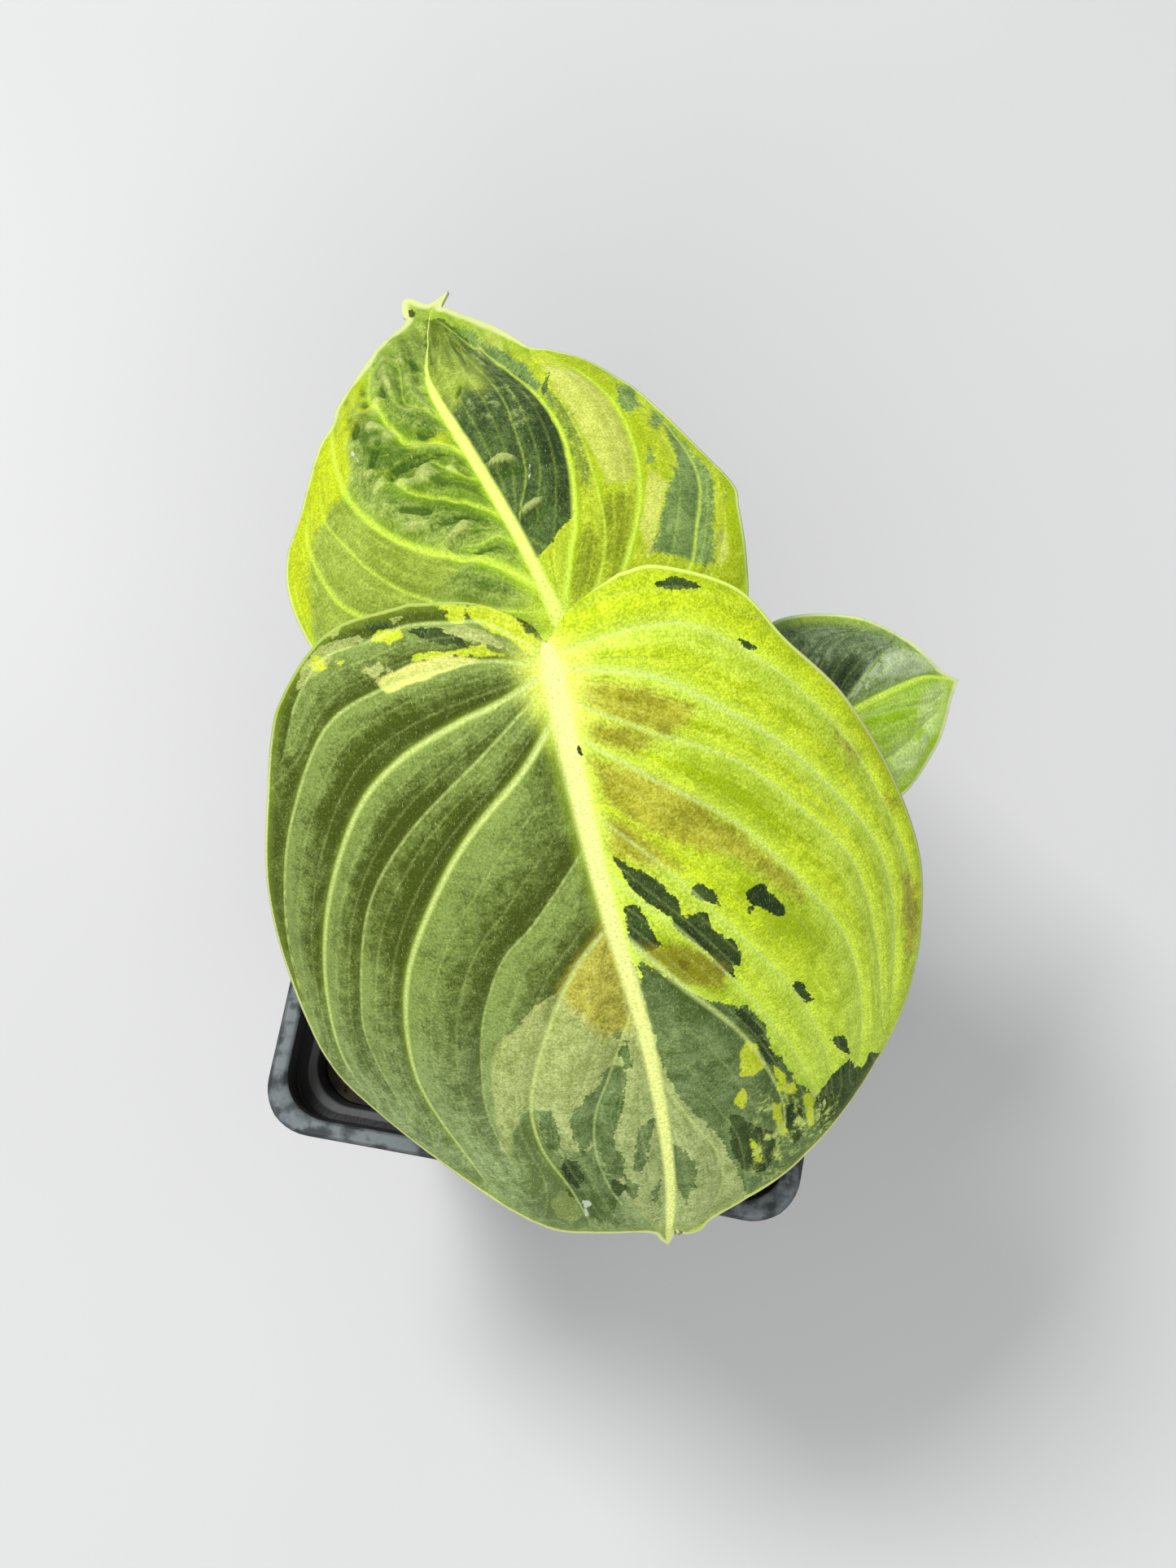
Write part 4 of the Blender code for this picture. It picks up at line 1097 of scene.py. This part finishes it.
front_leaf = LeafSheet(FRONT_LEAF)
front_blade = leaf_blade("front_leaf_blade", front_leaf, 105, 200)
dress(front_blade, FRONT_TONES)
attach(front_blade, "root")
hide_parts("blade_front")

# The back leaf: it unfurled rumpled, so its middle is blistered between the veins, its right half is
# folded down along one vein, and its tip is rolled under with the drip tip standing out of it.
BACK_LUMPS = (
    (15.4, 37.6, 2.2, 0.9, -28, 1.3), (12.2, 35.2, 1.8, 0.8, 41, 1.1), (8.4, 34.2, 3.5, 1.9, 0, 0.85),
    (4.6, 32.6, 1.8, 0.7, 58, 0.9), (11.5, 38.3, 3.5, 0.6, -3, -1.2), (6.4, 37.4, 2.4, 0.5, 20, -1.1),
    (8.2, 21.3, 2.6, 0.9, -22, 1.2), (6.2, 23.1, 3.4, 0.6, 17, -1.3), (13.3, 25.8, 3.0, 1.0, 31, 1.1),
    (12.2, 28.5, 3.6, 0.7, 45, -1.2), (7.8, 15.8, 2.4, 0.9, -15, 1.0), (5.2, 17.1, 2.2, 0.5, 10, -1.0),
    (12.4, 49.3, 1.7, 1.1, 30, 1.7), (16.4, 40.6, 1.3, 1.0, 0, 1.1), (14.3, 43.4, 2.6, 0.7, -52, -1.3),
    (6.3, 39.4, 3.4, 1.1, 35, 1.0), (6, 42.6, 2.6, 0.5, 28, -1.0), (10.6, 46.5, 1.2, 2.2, 0, 0.8),
    (-2.3, 31, 2.4, 0.75, 22, 1.7), (-3, 28.5, 2.2, 0.7, 8, -1.6), (-3.4, 20.9, 2.1, 0.7, -7, 1.4),
    (-3.6, 18.9, 2.2, 0.6, -10, -1.0), (-0.6, 59.6, 0.6, 2.6, 28, 0.7), (-1.6, 49.4, 1.3, 0.5, -50, -1.0),
    (-5, 65, 0.5, 9, 3, -1.0), (-8.6, 62, 0.9, 4.5, 0, 0.9), (10.5, 57, 1.1, 2, 0, 0.9),
    (7.4, 60, 0.7, 2.4, 0, 0.8), (8.8, 58, 0.5, 2.4, 0, -0.9), (4.5, 67, 0.6, 2.8, -20, 0.9),
    (2.4, 64, 0.5, 3.5, -12, -0.9), (11.8, 45.3, 2.5, 2.2, 0, 0.8), (6.2, 46.8, 2.4, 3.4, 0, 0.4),
    (11.8, 54.3, 1.4, 2.0, 20, 0.7), (-3.2, 52, 0.7, 3.4, 14, 0.4), (-2.6, 70, 0.5, 5, 8, -0.9),
    (15.2, 52, 0.8, 2.4, 20, -0.9),
)
FOLD_VEIN = (
    (-1, 3), (-5.5, 11.5), (-8, 16), (-11, 25), (-12.7, 35), (-12.2, 46), (-10.2, 56), (-7, 70), (-4, 79),
)


def back_lumps(x, y):
    """Flat-topped blisters and creases, given by place, half length, half width, turn and height, and the
    pleats towards the tip."""
    rise = np.zeros(len(x))
    for at_x, at_y, long, wide, turn, height in BACK_LUMPS:
        c, s = math.cos(math.radians(turn)), math.sin(math.radians(turn))
        u, v = (x - at_x) * c + (y - at_y) * s, (y - at_y) * c - (x - at_x) * s
        rise += height * np.exp(-(((u / long) ** 2 + (v / wide) ** 2) ** 2))
    pleated = np.clip((y - 50) / 8, 0, 1) * np.clip((84 - y) / 6, 0, 1)
    return rise + 0.4 * pleated * np.cos(2.1 * x + 0.06 * y + 1.2 * np.sin(0.2 * y))


def back_fold(x, y):
    """The crease where the right half folds down along one vein."""
    gap = gap_to(x, y, smooth_line(FOLD_VEIN, 60))[0]
    return -2.2 * np.interp(y, (25, 58, 66, 78), (0, 1, 1, 0)) * np.exp(-((gap / 4) ** 2))


def rumpled(x, y):
    """How rumpled the blade is: most between the midrib and the next strong vein."""
    return 0.4 + 2.4 * np.exp(-(((x - 7) / 9) ** 2) - ((y - 40) / 28) ** 2)


BACK_PATCHES = {
    "dark": (
        ((-0.3, 13), (-3, 13.5), (-5.5, 15.5), (-8.5, 17.5), (-10.5, 23), (-12, 31), (-12.4, 40),
         (-12, 50), (-10.5, 56), (-8.5, 60), (-7.5, 70), (-5.5, 77), (-2.8, 78.5), (-1, 70), (0, 60),
         (0.8, 50), (1.2, 44), (0.6, 36), (-0.4, 24)),
        ((-13.2, 44), (-14.6, 46.5), (-16.2, 50), (-15, 48), (-13, 45.5)),
    ),
    "sector": (
        ((-16.5, 7), (-18, 6), (-21, 4.8), (-23, 3), (-25, 3), (-28, 10), (-31, 16.5), (-32, 20),
         (-31, 26), (-30, 31), (-28.5, 34.5), (-28, 24.5), (-27, 22.5), (-23, 16.5), (-20.5, 12.5),
         (-18, 9)),
        ((-26.5, 30), (-29.5, 33.5), (-28.5, 36), (-26.3, 32)),
        ((-22.5, 23.3), (-24, 24), (-24.3, 26.5), (-23, 25)),
        ((-32.3, 14.8), (-33.3, 16.5), (-32.6, 16.5)),
        ((-23.5, 34), (-26.5, 36), (-27, 41), (-24.5, 42), (-23.5, 38)),
        ((-5, 77), (-8.5, 71), (-10.8, 62), (-13.2, 53.5), (-13.8, 47), (-12.3, 45.5), (-10, 52), (-8, 59),
         (-6, 67.5)),
        ((-13.9, 47), (-14.6, 44), (-15.2, 37), (-14.8, 31), (-13.5, 24), (-12.2, 21), (-11.9, 23),
         (-13, 30), (-13.5, 37), (-13.1, 43)),
    ),
    "shade": (
        ((-8, 18), (-11, 24), (-12, 32), (-12, 44), (-9, 40), (-8, 28)),
        ((2, 22), (8, 24), (13, 32), (17, 44), (16, 50), (10, 50), (4, 44), (2, 32)),
        ((-2, 64), (-6, 66), (-5, 77), (-2.5, 78)),
        ((1, 60), (5, 62), (3, 72), (-1, 76)),
    ),
    "khaki": (
        ((-15.2, 52), (-15.4, 30), (-15.2, 21), (-17, 20), (-19.5, 21), (-21.5, 27), (-22, 38),
         (-20.5, 47)),
        ((-15.5, 6), (-18.5, 9.5), (-21, 14), (-24, 18.5), (-22.5, 22), (-19.5, 17), (-16.5, 11)),
        ((-25.5, 2), (-28, 4), (-29.5, 9), (-27.5, 8)),
        ((-8.5, 58), (-11.5, 58), (-12, 64), (-10.5, 70), (-8.3, 70)),
    ),
    "tan": (
        ((-2, 3.5), (-6.5, 5), (-8.5, 8), (-10.5, 12), (-9.5, 15), (-7.5, 13), (-3.5, 6)),
        ((-8.5, 5), (-12, 6), (-14.5, 11), (-17, 15), (-17.5, 18.5), (-13, 18.5), (-11, 13)),
        ((-10.8, 20), (-12, 20), (-14.3, 27), (-15, 35), (-14.8, 45), (-13.6, 42), (-13.2, 32), (-12, 25)),
        ((16, 51), (13, 52), (13.5, 55), (16, 55)),
    ),
    "lime": (
        ((40, 15), (36, 18), (34.5, 22), (32, 28), (29.5, 34), (26, 38), (22.5, 40.5), (20.5, 42),
         (18.5, 45), (17.5, 50), (15, 54), (14.5, 58), (12, 61), (10, 68), (9, 73), (20, 70), (30, 55),
         (40, 38)),
        ((14.5, 56), (10, 55), (10, 58), (13, 59.5)),
        ((3.5, 38.5), (8.5, 40.5), (8, 42), (3, 41)),
    ),
    "fleck": (
        ((0, 44), (-3, 39), (-7, 36), (-10, 38), (-11.5, 44), (-10, 54), (-8, 62), (-6.5, 74), (-3, 77),
         (-1, 66), (0.5, 52)),
    ),
    "cream": (
        ((34, 20), (33, 26), (31, 33), (28, 38), (24, 41), (21.5, 41), (20.5, 38), (18.5, 31), (15, 24),
         (10.5, 19), (9.5, 16), (14, 13.5), (20, 13), (28, 16)),
        ((-3, 78), (-0.5, 66), (1.2, 56), (1, 46), (-1, 47.5), (-2.5, 49), (-4.5, 47), (-5.8, 48),
         (-6.5, 54), (-6.3, 63.5), (-5.4, 73)),
    ),
    "glow": (
        ((-3, -2.5), (2, -3.5), (4, 0), (2.5, 6), (0.5, 12), (-1.5, 6)),
    ),
    "scar": (
        ((-4.9, 26), (-5.6, 27.6), (-5.9, 28.5), (-5.5, 28.2)),
        ((16.8, 44.5), (17.4, 47), (17.2, 48.6), (16.8, 46)),
    ),
    "burn": (
        ((-0.9, 80.3), (-2, 80.4), (-2, 82.2), (-1.3, 82.6)),
    ),
}
BACK_LEAF = {
    "attach": Vector((-6.9, 30.3, 160)) * MM,
    "heading": 214,
    "slopes": ((-20, 0), (0, 8), (66, 48), (76, 46), (90, 0)),
    "roll": 0,
    "half": 40,
    "droop": (38, 36),
    "wave": 0.8,
    "puff": 0.45,
    "lumps": back_lumps,
    "fold": back_fold,
    "rumple": rumpled,
    "back_share": 9 / 28,
    "sinus": (0, -3.5),
    "midrib": ((0, 14), (1, 33), (1.9, 52), (0.5, 63), (-2.5, 75), (-4.8, 80.5), (-8.7, 83.4)),
    "midrib_halves": ((0, 1.5), (0.15, 0.95), (0.5, 0.95), (0.63, 0.7), (0.7, 0.3), (0.8, 0.1), (1, 0.02)),
    "margins": ((50, 1), (58, 1.3), (70, 2.8), (84, 2.4)),
    "left": (
        (-3.5, -7), (-8, -13), (-14, -15), (-22, -12), (-27.5, -4), (-31, 4), (-33.5, 12), (-34.8, 18),
        (-31.3, 30.5), (-26, 43.5), (-22.8, 52), (-18.5, 56), (-15, 58.5), (-11.5, 71), (-7.5, 79),
        (-6.4, 80.5), (-8.7, 83.4),
    ),
    "right": (
        (4, -7), (8, -13), (13, -15.5), (20, -13), (29, -3), (34, 10), (36.4, 27), (34, 38), (28, 47),
        (18.5, 59), (16, 65), (8, 73), (1.5, 78.5), (-0.3, 80.5), (-0.2, 82.5), (-1.2, 84.9), (-2.6, 84.5),
        (-4, 82.6), (-5.5, 82.2), (-8.7, 83.4),
    ),
    "veins_left": (
        (0.35, ((-2, -2), (-12, -6), (-22, 0), (-29, 8), (-32, 16))),
        (0.6, ((-1, -1), (-12, -1), (-20.5, 3), (-25, 10), (-29, 18), (-30, 26), (-28, 37))),
        (0.85, ((-1, 0), (-8, 2.5), (-14, 9.5), (-19, 18), (-22, 28), (-22.5, 38), (-20.5, 48),
                (-18, 54))),
        (0.35, ((-1, 1.5), (-7, 5), (-11.5, 13), (-14, 24), (-15, 34), (-15, 46))),
        (0.95, FOLD_VEIN),
        (0.15, ((0, 18), (-2, 22), (-5, 28), (-6.5, 38), (-7, 46), (-6, 58), (-5, 70))),
    ),
    "veins_right": (
        (0.5, ((1, -2), (15, -4), (27, 6), (34, 16), (35, 27.5), (33, 37))),
        (0.9, ((1, 0), (12, 5), (21, 13), (27, 20), (29.5, 28), (29.5, 38.5), (27, 46))),
        (0.45, ((1, 4), (10, 9), (17, 15.5), (21.5, 23), (24, 31), (25.5, 39.5), (24, 48))),
        (1.0, ((0.5, 8), (5, 14.5), (10, 18.5), (15, 24), (18.5, 31), (20.5, 39), (20.5, 48), (18.5, 58),
               (16, 64))),
        (0.3, ((0.3, 16), (3, 18.5), (6, 18.5), (9, 19.5))),
        (0.55, ((0.3, 21), (5, 26.5), (9, 30), (12, 34), (13.5, 37.5), (16.5, 37.3))),
        (0.35, ((0.8, 29), (4.5, 32.5), (7, 36.5), (11, 37.5))),
        (0.85, ((1.2, 35), (4.5, 39.5), (8, 42), (10, 46), (10.5, 52), (11, 60), (8.5, 71))),
        (0.2, ((1.8, 44), (4.5, 49), (6.5, 54), (5, 62), (4, 70))),
    ),
    "patches": BACK_PATCHES,
}
BACK_TONES = {
    **FRONT_TONES,
    "left": ((0.26, 0.34, 0.001), (0.46, 0.56, 0.03)),
    "right": ((0.06, 0.12, 0.005), (0.26, 0.36, 0.06)),
    "low": ((0.17, 0.25, 0.04), (0.38, 0.49, 0.10)),
    "lime_low": ((0.15, 0.22, 0.025), (0.38, 0.46, 0.11)),
    "dark": ((0.014, 0.032, 0.005), (0.09, 0.145, 0.033)),
    "sector": ((0.075, 0.135, 0.03), (0.22, 0.32, 0.085)),
    "khaki": ((0.33, 0.38, 0.045), (0.52, 0.56, 0.11)),
    "cream": ((0.16, 0.22, 0.012), (0.31, 0.40, 0.055)),
    "lime": ((0.29, 0.36, 0.001), (0.47, 0.56, 0.006)),
    "tan": ((0.085, 0.115, 0.003), (0.26, 0.31, 0.008)),
    "fleck": ((0.09, 0.13, 0.025), (0.21, 0.26, 0.08)),
    "glow": ((0.38, 0.52, 0.010), (0.54, 0.67, 0.05)),
    # Painted highlight on the blister tops, then painted shade in their creases
    "painted_highlight": (0.42, 0.49, 0.14),
    "painted_crease_shade": (0.03, 0.075, 0.002),
    "halo": (0.26, 0.43, 0.006),
    "lime_halo": (0.28, 0.46, 0.008),
    "vein": (0.50, 0.66, 0.06),
    "rib": (0.74, 0.86, 0.19),
    "burn": (0.05, 0.07, 0.005),
}
back_leaf = LeafSheet(BACK_LEAF)
back_blade = leaf_blade("back_leaf_blade", back_leaf, 100, 220)
dress(back_blade, BACK_TONES, blur=0.5, low=(50, 72))
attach(back_blade, "root")
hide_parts("blade_back")

# The side leaf, the smallest and oldest: low on the right, its upper half dark and dusty and its lower
# half light green, with a broad cream margin at the lower edge.
SIDE_PATCHES = {
    "dark": (
        ((0.8, 1), (2.5, 8), (4.5, 12), (7.5, 17), (9.5, 21), (9.8, 26), (7.5, 30), (12.5, 28), (24, 15),
         (24, -10), (0, -12)),
    ),
    # On this leaf the tan slot is a near-black spot: a painted shadow cast by the front leaf
    "tan": (
        ((4, 9), (10, 7.5), (10.8, 12), (10.2, 16), (8.6, 17), (6, 13)),
    ),
    "lime": (
        ((-11, 17), (-7, 16), (-5, 20), (-5.5, 25), (-8, 25), (-10, 22)),
        ((-6, 26), (-2, 24), (2, 27), (3, 33), (0, 33), (-5, 29)),
    ),
    "khaki": (
        ((5.4, 18), (9, 21), (9.5, 26), (8, 30), (5, 31), (4.8, 26)),
    ),
    "cream": (
        ((14.5, 22), (17, 15), (18.6, 8), (21, 12), (17.5, 20), (12, 27)),
    ),
    "fleck": (
        ((4.2, 12), (8, 17), (10, 20.5), (10, 24), (8.5, 21.5), (6, 17), (3.6, 13)),
        ((10, 8.2), (14.5, 8.2), (14.5, 10.2), (10.5, 10)),
    ),
    "scar": (
        ((4, 12), (5.7, 14.4), (5.4, 14.8), (3.8, 12.6)),
        ((6.4, 16), (8.3, 19.2), (8, 19.6), (6.2, 16.8)),
        ((8.5, 19.8), (9.6, 22.6), (9.3, 23), (8.3, 20.6)),
        ((-6.3, 24.2), (-5, 24.3), (-4.9, 25.3), (-6.4, 25.2)),
    ),
}
SIDE_LEAF = {
    "attach": Vector((29.7, 29.7, 118)) * MM,
    "heading": 122,
    "slopes": ((-10, 0), (0, 12), (34, 44)),
    "roll": 14,
    "half": 18,
    "droop": (34, 34),
    "wave": 0.3,
    "puff": 0.25,
    "lumps": lambda x, y: 0 * x,
    "fold": lambda x, y: 0 * x,
    "rumple": lambda x, y: 0.7 + 0 * x,
    "back_share": 6 / 18,
    "sinus": (0.3, -1.5),
    "midrib": ((1.2, 8), (2.4, 15), (3.6, 23), (4, 29), (2.5, 36.5)),
    "midrib_halves": ((0, 0.7), (0.5, 0.6), (1, 0.2)),
    "margins": ((0, 1.2), (36, 1.7)),
    "left": (
        (-1, -3.5), (-4, -6.5), (-8, -7), (-13, -3), (-16, 4), (-16.5, 12), (-14, 20), (-9.3, 26.3),
        (-3.5, 31), (2.5, 36.5),
    ),
    "right": (
        (2, -4), (5, -7), (10, -7), (16, -3), (20, 4), (20.3, 10), (17.5, 19), (11.5, 27), (5.5, 32),
        (2.5, 36.5),
    ),
    "veins_left": (
        (0.35, ((0, 0), (-6, -2), (-11, 2), (-14, 9), (-13, 17))),
        (0.45, ((0.5, 2), (-5, 7), (-7.5, 14), (-6, 20), (-2, 28.5))),
        (0.55, ((1, 8), (0.3, 14), (0, 21.5), (-0.5, 27.5), (1, 32))),
    ),
    "veins_right": (
        (0.08, ((1, 0), (8, 0), (14, 4), (17, 10), (15, 18))),
        (0.1, ((1, 3), (7, 6), (12, 11), (14, 17), (12, 23))),
        (0.3, ((1.3, 8), (4.5, 12), (7.5, 17), (9.5, 21), (9.8, 26), (7.5, 30))),
    ),
    "patches": SIDE_PATCHES,
}
SIDE_TONES = {
    **FRONT_TONES,
    "left": ((0.22, 0.38, 0.006), (0.40, 0.56, 0.10)),
    "right": ((0.10, 0.15, 0.03), (0.30, 0.38, 0.16)),
    "dark": ((0.045, 0.08, 0.022), (0.21, 0.28, 0.14)),
    # The tan slot here is near black: a painted shadow cast by the front leaf
    "tan": ((0.006, 0.014, 0.002), (0.022, 0.042, 0.008)),
    "halo": (0.38, 0.58, 0.02),
    "lime_halo": (0.16, 0.26, 0.03),
    "vein": (0.44, 0.58, 0.14),
    "rib": (0.56, 0.76, 0.06),
    "lime": ((0.30, 0.44, 0.08), (0.48, 0.60, 0.22)),
    "khaki": ((0.28, 0.36, 0.17), (0.46, 0.54, 0.32)),
    "cream": ((0.14, 0.20, 0.03), (0.38, 0.46, 0.08)),
    "fleck": ((0.28, 0.36, 0.20), (0.44, 0.52, 0.36)),
    "speck": (0.14, 0.24, 0.03),
    "margin": (0.58, 0.66, 0.30),
    "scar": (0.34, 0.42, 0.27),
    "low": ((0.24, 0.38, 0.03), (0.42, 0.55, 0.14)),
    "lime_low": ((0.19, 0.27, 0.09), (0.36, 0.45, 0.23)),
}
side_leaf = LeafSheet(SIDE_LEAF)
side_blade = leaf_blade("side_leaf_blade", side_leaf, 70, 130)
dress(side_blade, SIDE_TONES, ragged=0.3, blur=0.5)
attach(side_blade, "root")
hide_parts("blade_side")

# The stalks: each is a green, firm, round stalk that clasps the stem at its foot, thins upwards and
# swells again in the joint under its blade. Its skin has fine pale flecks.
STALK_RADIUS = 2.0 * MM
STALK_TAPER = 0.8
INTO_BLADE = 1.4 * MM
STALK_GREEN, STALK_PALE = (0.17, 0.27, 0.045), (0.36, 0.46, 0.11)
JOINT_GREEN, FLECK_GREEN = (0.5, 0.58, 0.13), (0.62, 0.66, 0.36)
JOINTS = (145 * MM, 170 * MM)


def in_stem(share, side, out):
    """A point at that share of the stem's height, this many millimetres out from its middle line."""
    outwards = Vector((math.sin(math.radians(side)), -math.cos(math.radians(side)), 0))
    return STEM_FOOT.lerp(STEM_TOP, share) + outwards * out * MM


def places(*points):
    """Points given in millimetres."""
    return [Vector(point) * MM for point in points]


STALK_ROUTES = {
    "front": [
        STEM_TOP - Vector((0, 0, 5)) * MM,
        STEM_TOP,
        *places((0, 6, 110), (1, 10.5, 130), (0.5, 16, 146), (-2, 21, 157), (-5.5, 23.6, 163)),
        front_leaf.under(0, 0.5, INTO_BLADE),
    ],
    "back": [
        in_stem(0.68, 205, 0.3),
        in_stem(0.76, 205, 2.2),
        in_stem(0.86, 205, 6.0),
        *places((-8, 17, 108), (-10.5, 24.5, 132), (-8.5, 28.8, 149)),
        back_leaf.under(0, 0.5, INTO_BLADE),
    ],
    "side": [
        in_stem(0.54, 110, 0.3),
        in_stem(0.61, 110, 2.2),
        in_stem(0.70, 110, 6.0),
        *places((14, 14, 96), (22, 22.5, 104.5), (27.2, 28.6, 110.5)),
        side_leaf.under(0, 0.5, INTO_BLADE),
    ],
}

flecked_stalk, shader = finish("flecked_stalk", {"Roughness": 0.42})
place = given(shader, "TexCoord", "Object")
green = blend(grain(place, 240, detail=3), STALK_GREEN, STALK_PALE)
green = blend(fade(axis_of(place, "Z"), *JOINTS), green, JOINT_GREEN)
flecks = fade(node("TexVoronoi", {"Vector": place, "Scale": 1500.0}), 0.28, 0.14)
green = blend(times(flecks, 0.55), green, FLECK_GREEN)
plug(shader, "Base Color", green)
bump(shader, flecks, 0.05 * MM)

for name, route in STALK_ROUTES.items():
    points = smooth_line(route, 70)
    steps = np.linalg.norm(np.diff(points, axis=0), axis=1)
    walked = np.concatenate([[0], np.cumsum(steps)]) / MM
    length = walked[-1]
    radii = []
    for at in walked:
        slim = STALK_RADIUS * (1 - (1 - STALK_TAPER) * at / length)
        clasp = 1.0 * MM * math.exp(-((max(0.0, at - 4) / 4.5) ** 2))
        joint = 0.35 * MM * math.exp(-(((length - at - 5) / 3.5) ** 2))
        sunk_foot = math.sqrt(max(0.1, 1 - max(0.0, 1 - at / 3.5) ** 2))
        closing = math.sqrt(max(0.25, 1 - max(0.0, 1 - (length - at) / 1.5) ** 2))
        radii.append((slim + clasp + joint) * closing * sunk_foot)
    stalk = tube(f"{name}_leaf_stalk", points, radii, sides=8)
    put_on(stalk, flecked_stalk)
    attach(stalk, "root")
    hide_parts(f"petiole_{name}")

# The sheath: a pale papery scale that wrapped the newest leaf's bud and has dried on the stem beside it.
# It is ribbed along its length and browned at its point.
SHEATH_RADIUS = 2.3 * MM
SHEATH_ROUTE = [in_stem(0.9, 300, 2.0), *places((-4.6, 2.6, 97.5), (-6.2, 2.2, 106), (-6.6, 3.4, 118))]
SHEATH_RINGS = 60
SHEATH_RIBS = 10
STRAW, PALE_STRAW, BROWN_POINT = (0.36, 0.33, 0.14), (0.66, 0.62, 0.34), (0.26, 0.15, 0.06)
POINT = (108 * MM, 117 * MM)

sheath_points = smooth_line(SHEATH_ROUTE, SHEATH_RINGS)
sheath_radii = []
for ring in range(SHEATH_RINGS):
    bulge = math.sin(math.pi * (0.25 + 0.73 * ring / (SHEATH_RINGS - 1)))
    sheath_radii.append(SHEATH_RADIUS * max(0.08, bulge**0.8))
sheath = tube("papery_sheath", sheath_points, sheath_radii, sides=14)
for vert in sheath.data.vertices:
    along = np.argmin([(vert.co - Vector(point)).length for point in sheath_points])
    from_axis = vert.co - Vector(sheath_points[along])
    angle = math.atan2(from_axis.y, from_axis.x)
    groove = 0.25 * math.exp(-(((angle - 0.8) / 0.25) ** 2))
    ribbed = 1 - 0.05 * (1 + math.cos(SHEATH_RIBS * angle)) - groove
    vert.co = Vector(sheath_points[along]) + from_axis * ribbed

papery, shader = finish("papery_sheath", {"Roughness": 0.65})
place = given(shader, "TexCoord", "Object")
fibres = grain(stretch(place, (1, 1, 0.08)), 2200, detail=3)
straw = blend(fade(fibres, 0.35, 0.7), STRAW, PALE_STRAW)
straw = blend(fade(axis_of(place, "Z"), *POINT), straw, BROWN_POINT)
plug(shader, "Base Color", straw)
bump(shader, fibres, 0.1 * MM)
put_on(sheath, papery)
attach(sheath, "root")
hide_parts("sheath")

# The studio: a plain pale floor, an even sky, one broad soft light from above on the left and a weak
# fill, and the camera where the photograph was taken, looking down on the leaves.
CAMERA_TARGET = Vector((-2.0, 21.8, 90.0)) * MM
CAMERA_DISTANCE = 400 * MM
CAMERA_TURN, CAMERA_HEIGHT = math.radians(10.8), math.radians(80)
FRAME_TALL = 1927
FOCAL_PIXELS = 2900
SENSOR = 36
FLOOR_SIZE = 8
FLOOR_DROP = 0.05 * MM
FLOOR_GREY, FLOOR_PALE = (0.44, 0.44, 0.435), (0.50, 0.50, 0.495)
SKY, SKY_STRENGTH = (0.95, 0.98, 1.0, 1), 0.6

bpy.ops.object.select_all(action="DESELECT")
bpy.ops.mesh.primitive_plane_add(size=FLOOR_SIZE, location=(0, 0, -FLOOR_DROP))
floor = bpy.context.object
floor.name = "studio_floor"
pale_floor, shader = finish("pale_floor", {"Roughness": 0.7})
grey = blend(grain(given(shader, "TexCoord", "Object"), 6, detail=3), FLOOR_GREY, FLOOR_PALE)
plug(shader, "Base Color", grey)
put_on(floor, pale_floor)

world = bpy.data.worlds.new("studio_air")
world.use_nodes = True
sky = world.node_tree.nodes["Background"]
sky.inputs["Color"].default_value = SKY
sky.inputs["Strength"].default_value = SKY_STRENGTH
bpy.context.scene.world = world
bpy.context.scene.view_settings.view_transform = "Standard"

for name, spot, size, power in (
    ("softbox", (-0.48, 0.36, 1.0), 0.3, 11.5),
    ("fill", (0.15, -0.8, 0.85), 1.0, 8.5),
):
    lamp = bpy.data.lights.new(name, "AREA")
    lamp.size = size
    lamp.energy = power
    light = bpy.data.objects.new(name, lamp)
    bpy.context.scene.collection.objects.link(light)
    light.location = spot
    light.rotation_euler = (CAMERA_TARGET - Vector(spot)).to_track_quat("-Z", "Y").to_euler()

lens = bpy.data.cameras.new("photo_camera")
lens.sensor_width = SENSOR
lens.lens = SENSOR * FOCAL_PIXELS / FRAME_TALL
lens.clip_start = 0.01
camera = bpy.data.objects.new("photo_camera", lens)
bpy.context.scene.collection.objects.link(camera)
towards_camera = Vector((
    math.sin(CAMERA_TURN) * math.cos(CAMERA_HEIGHT),
    -math.cos(CAMERA_TURN) * math.cos(CAMERA_HEIGHT),
    math.sin(CAMERA_HEIGHT),
))
camera.location = CAMERA_TARGET + towards_camera * CAMERA_DISTANCE
camera.rotation_euler = (math.pi / 2 - CAMERA_HEIGHT, 0, CAMERA_TURN)
bpy.context.scene.camera = camera
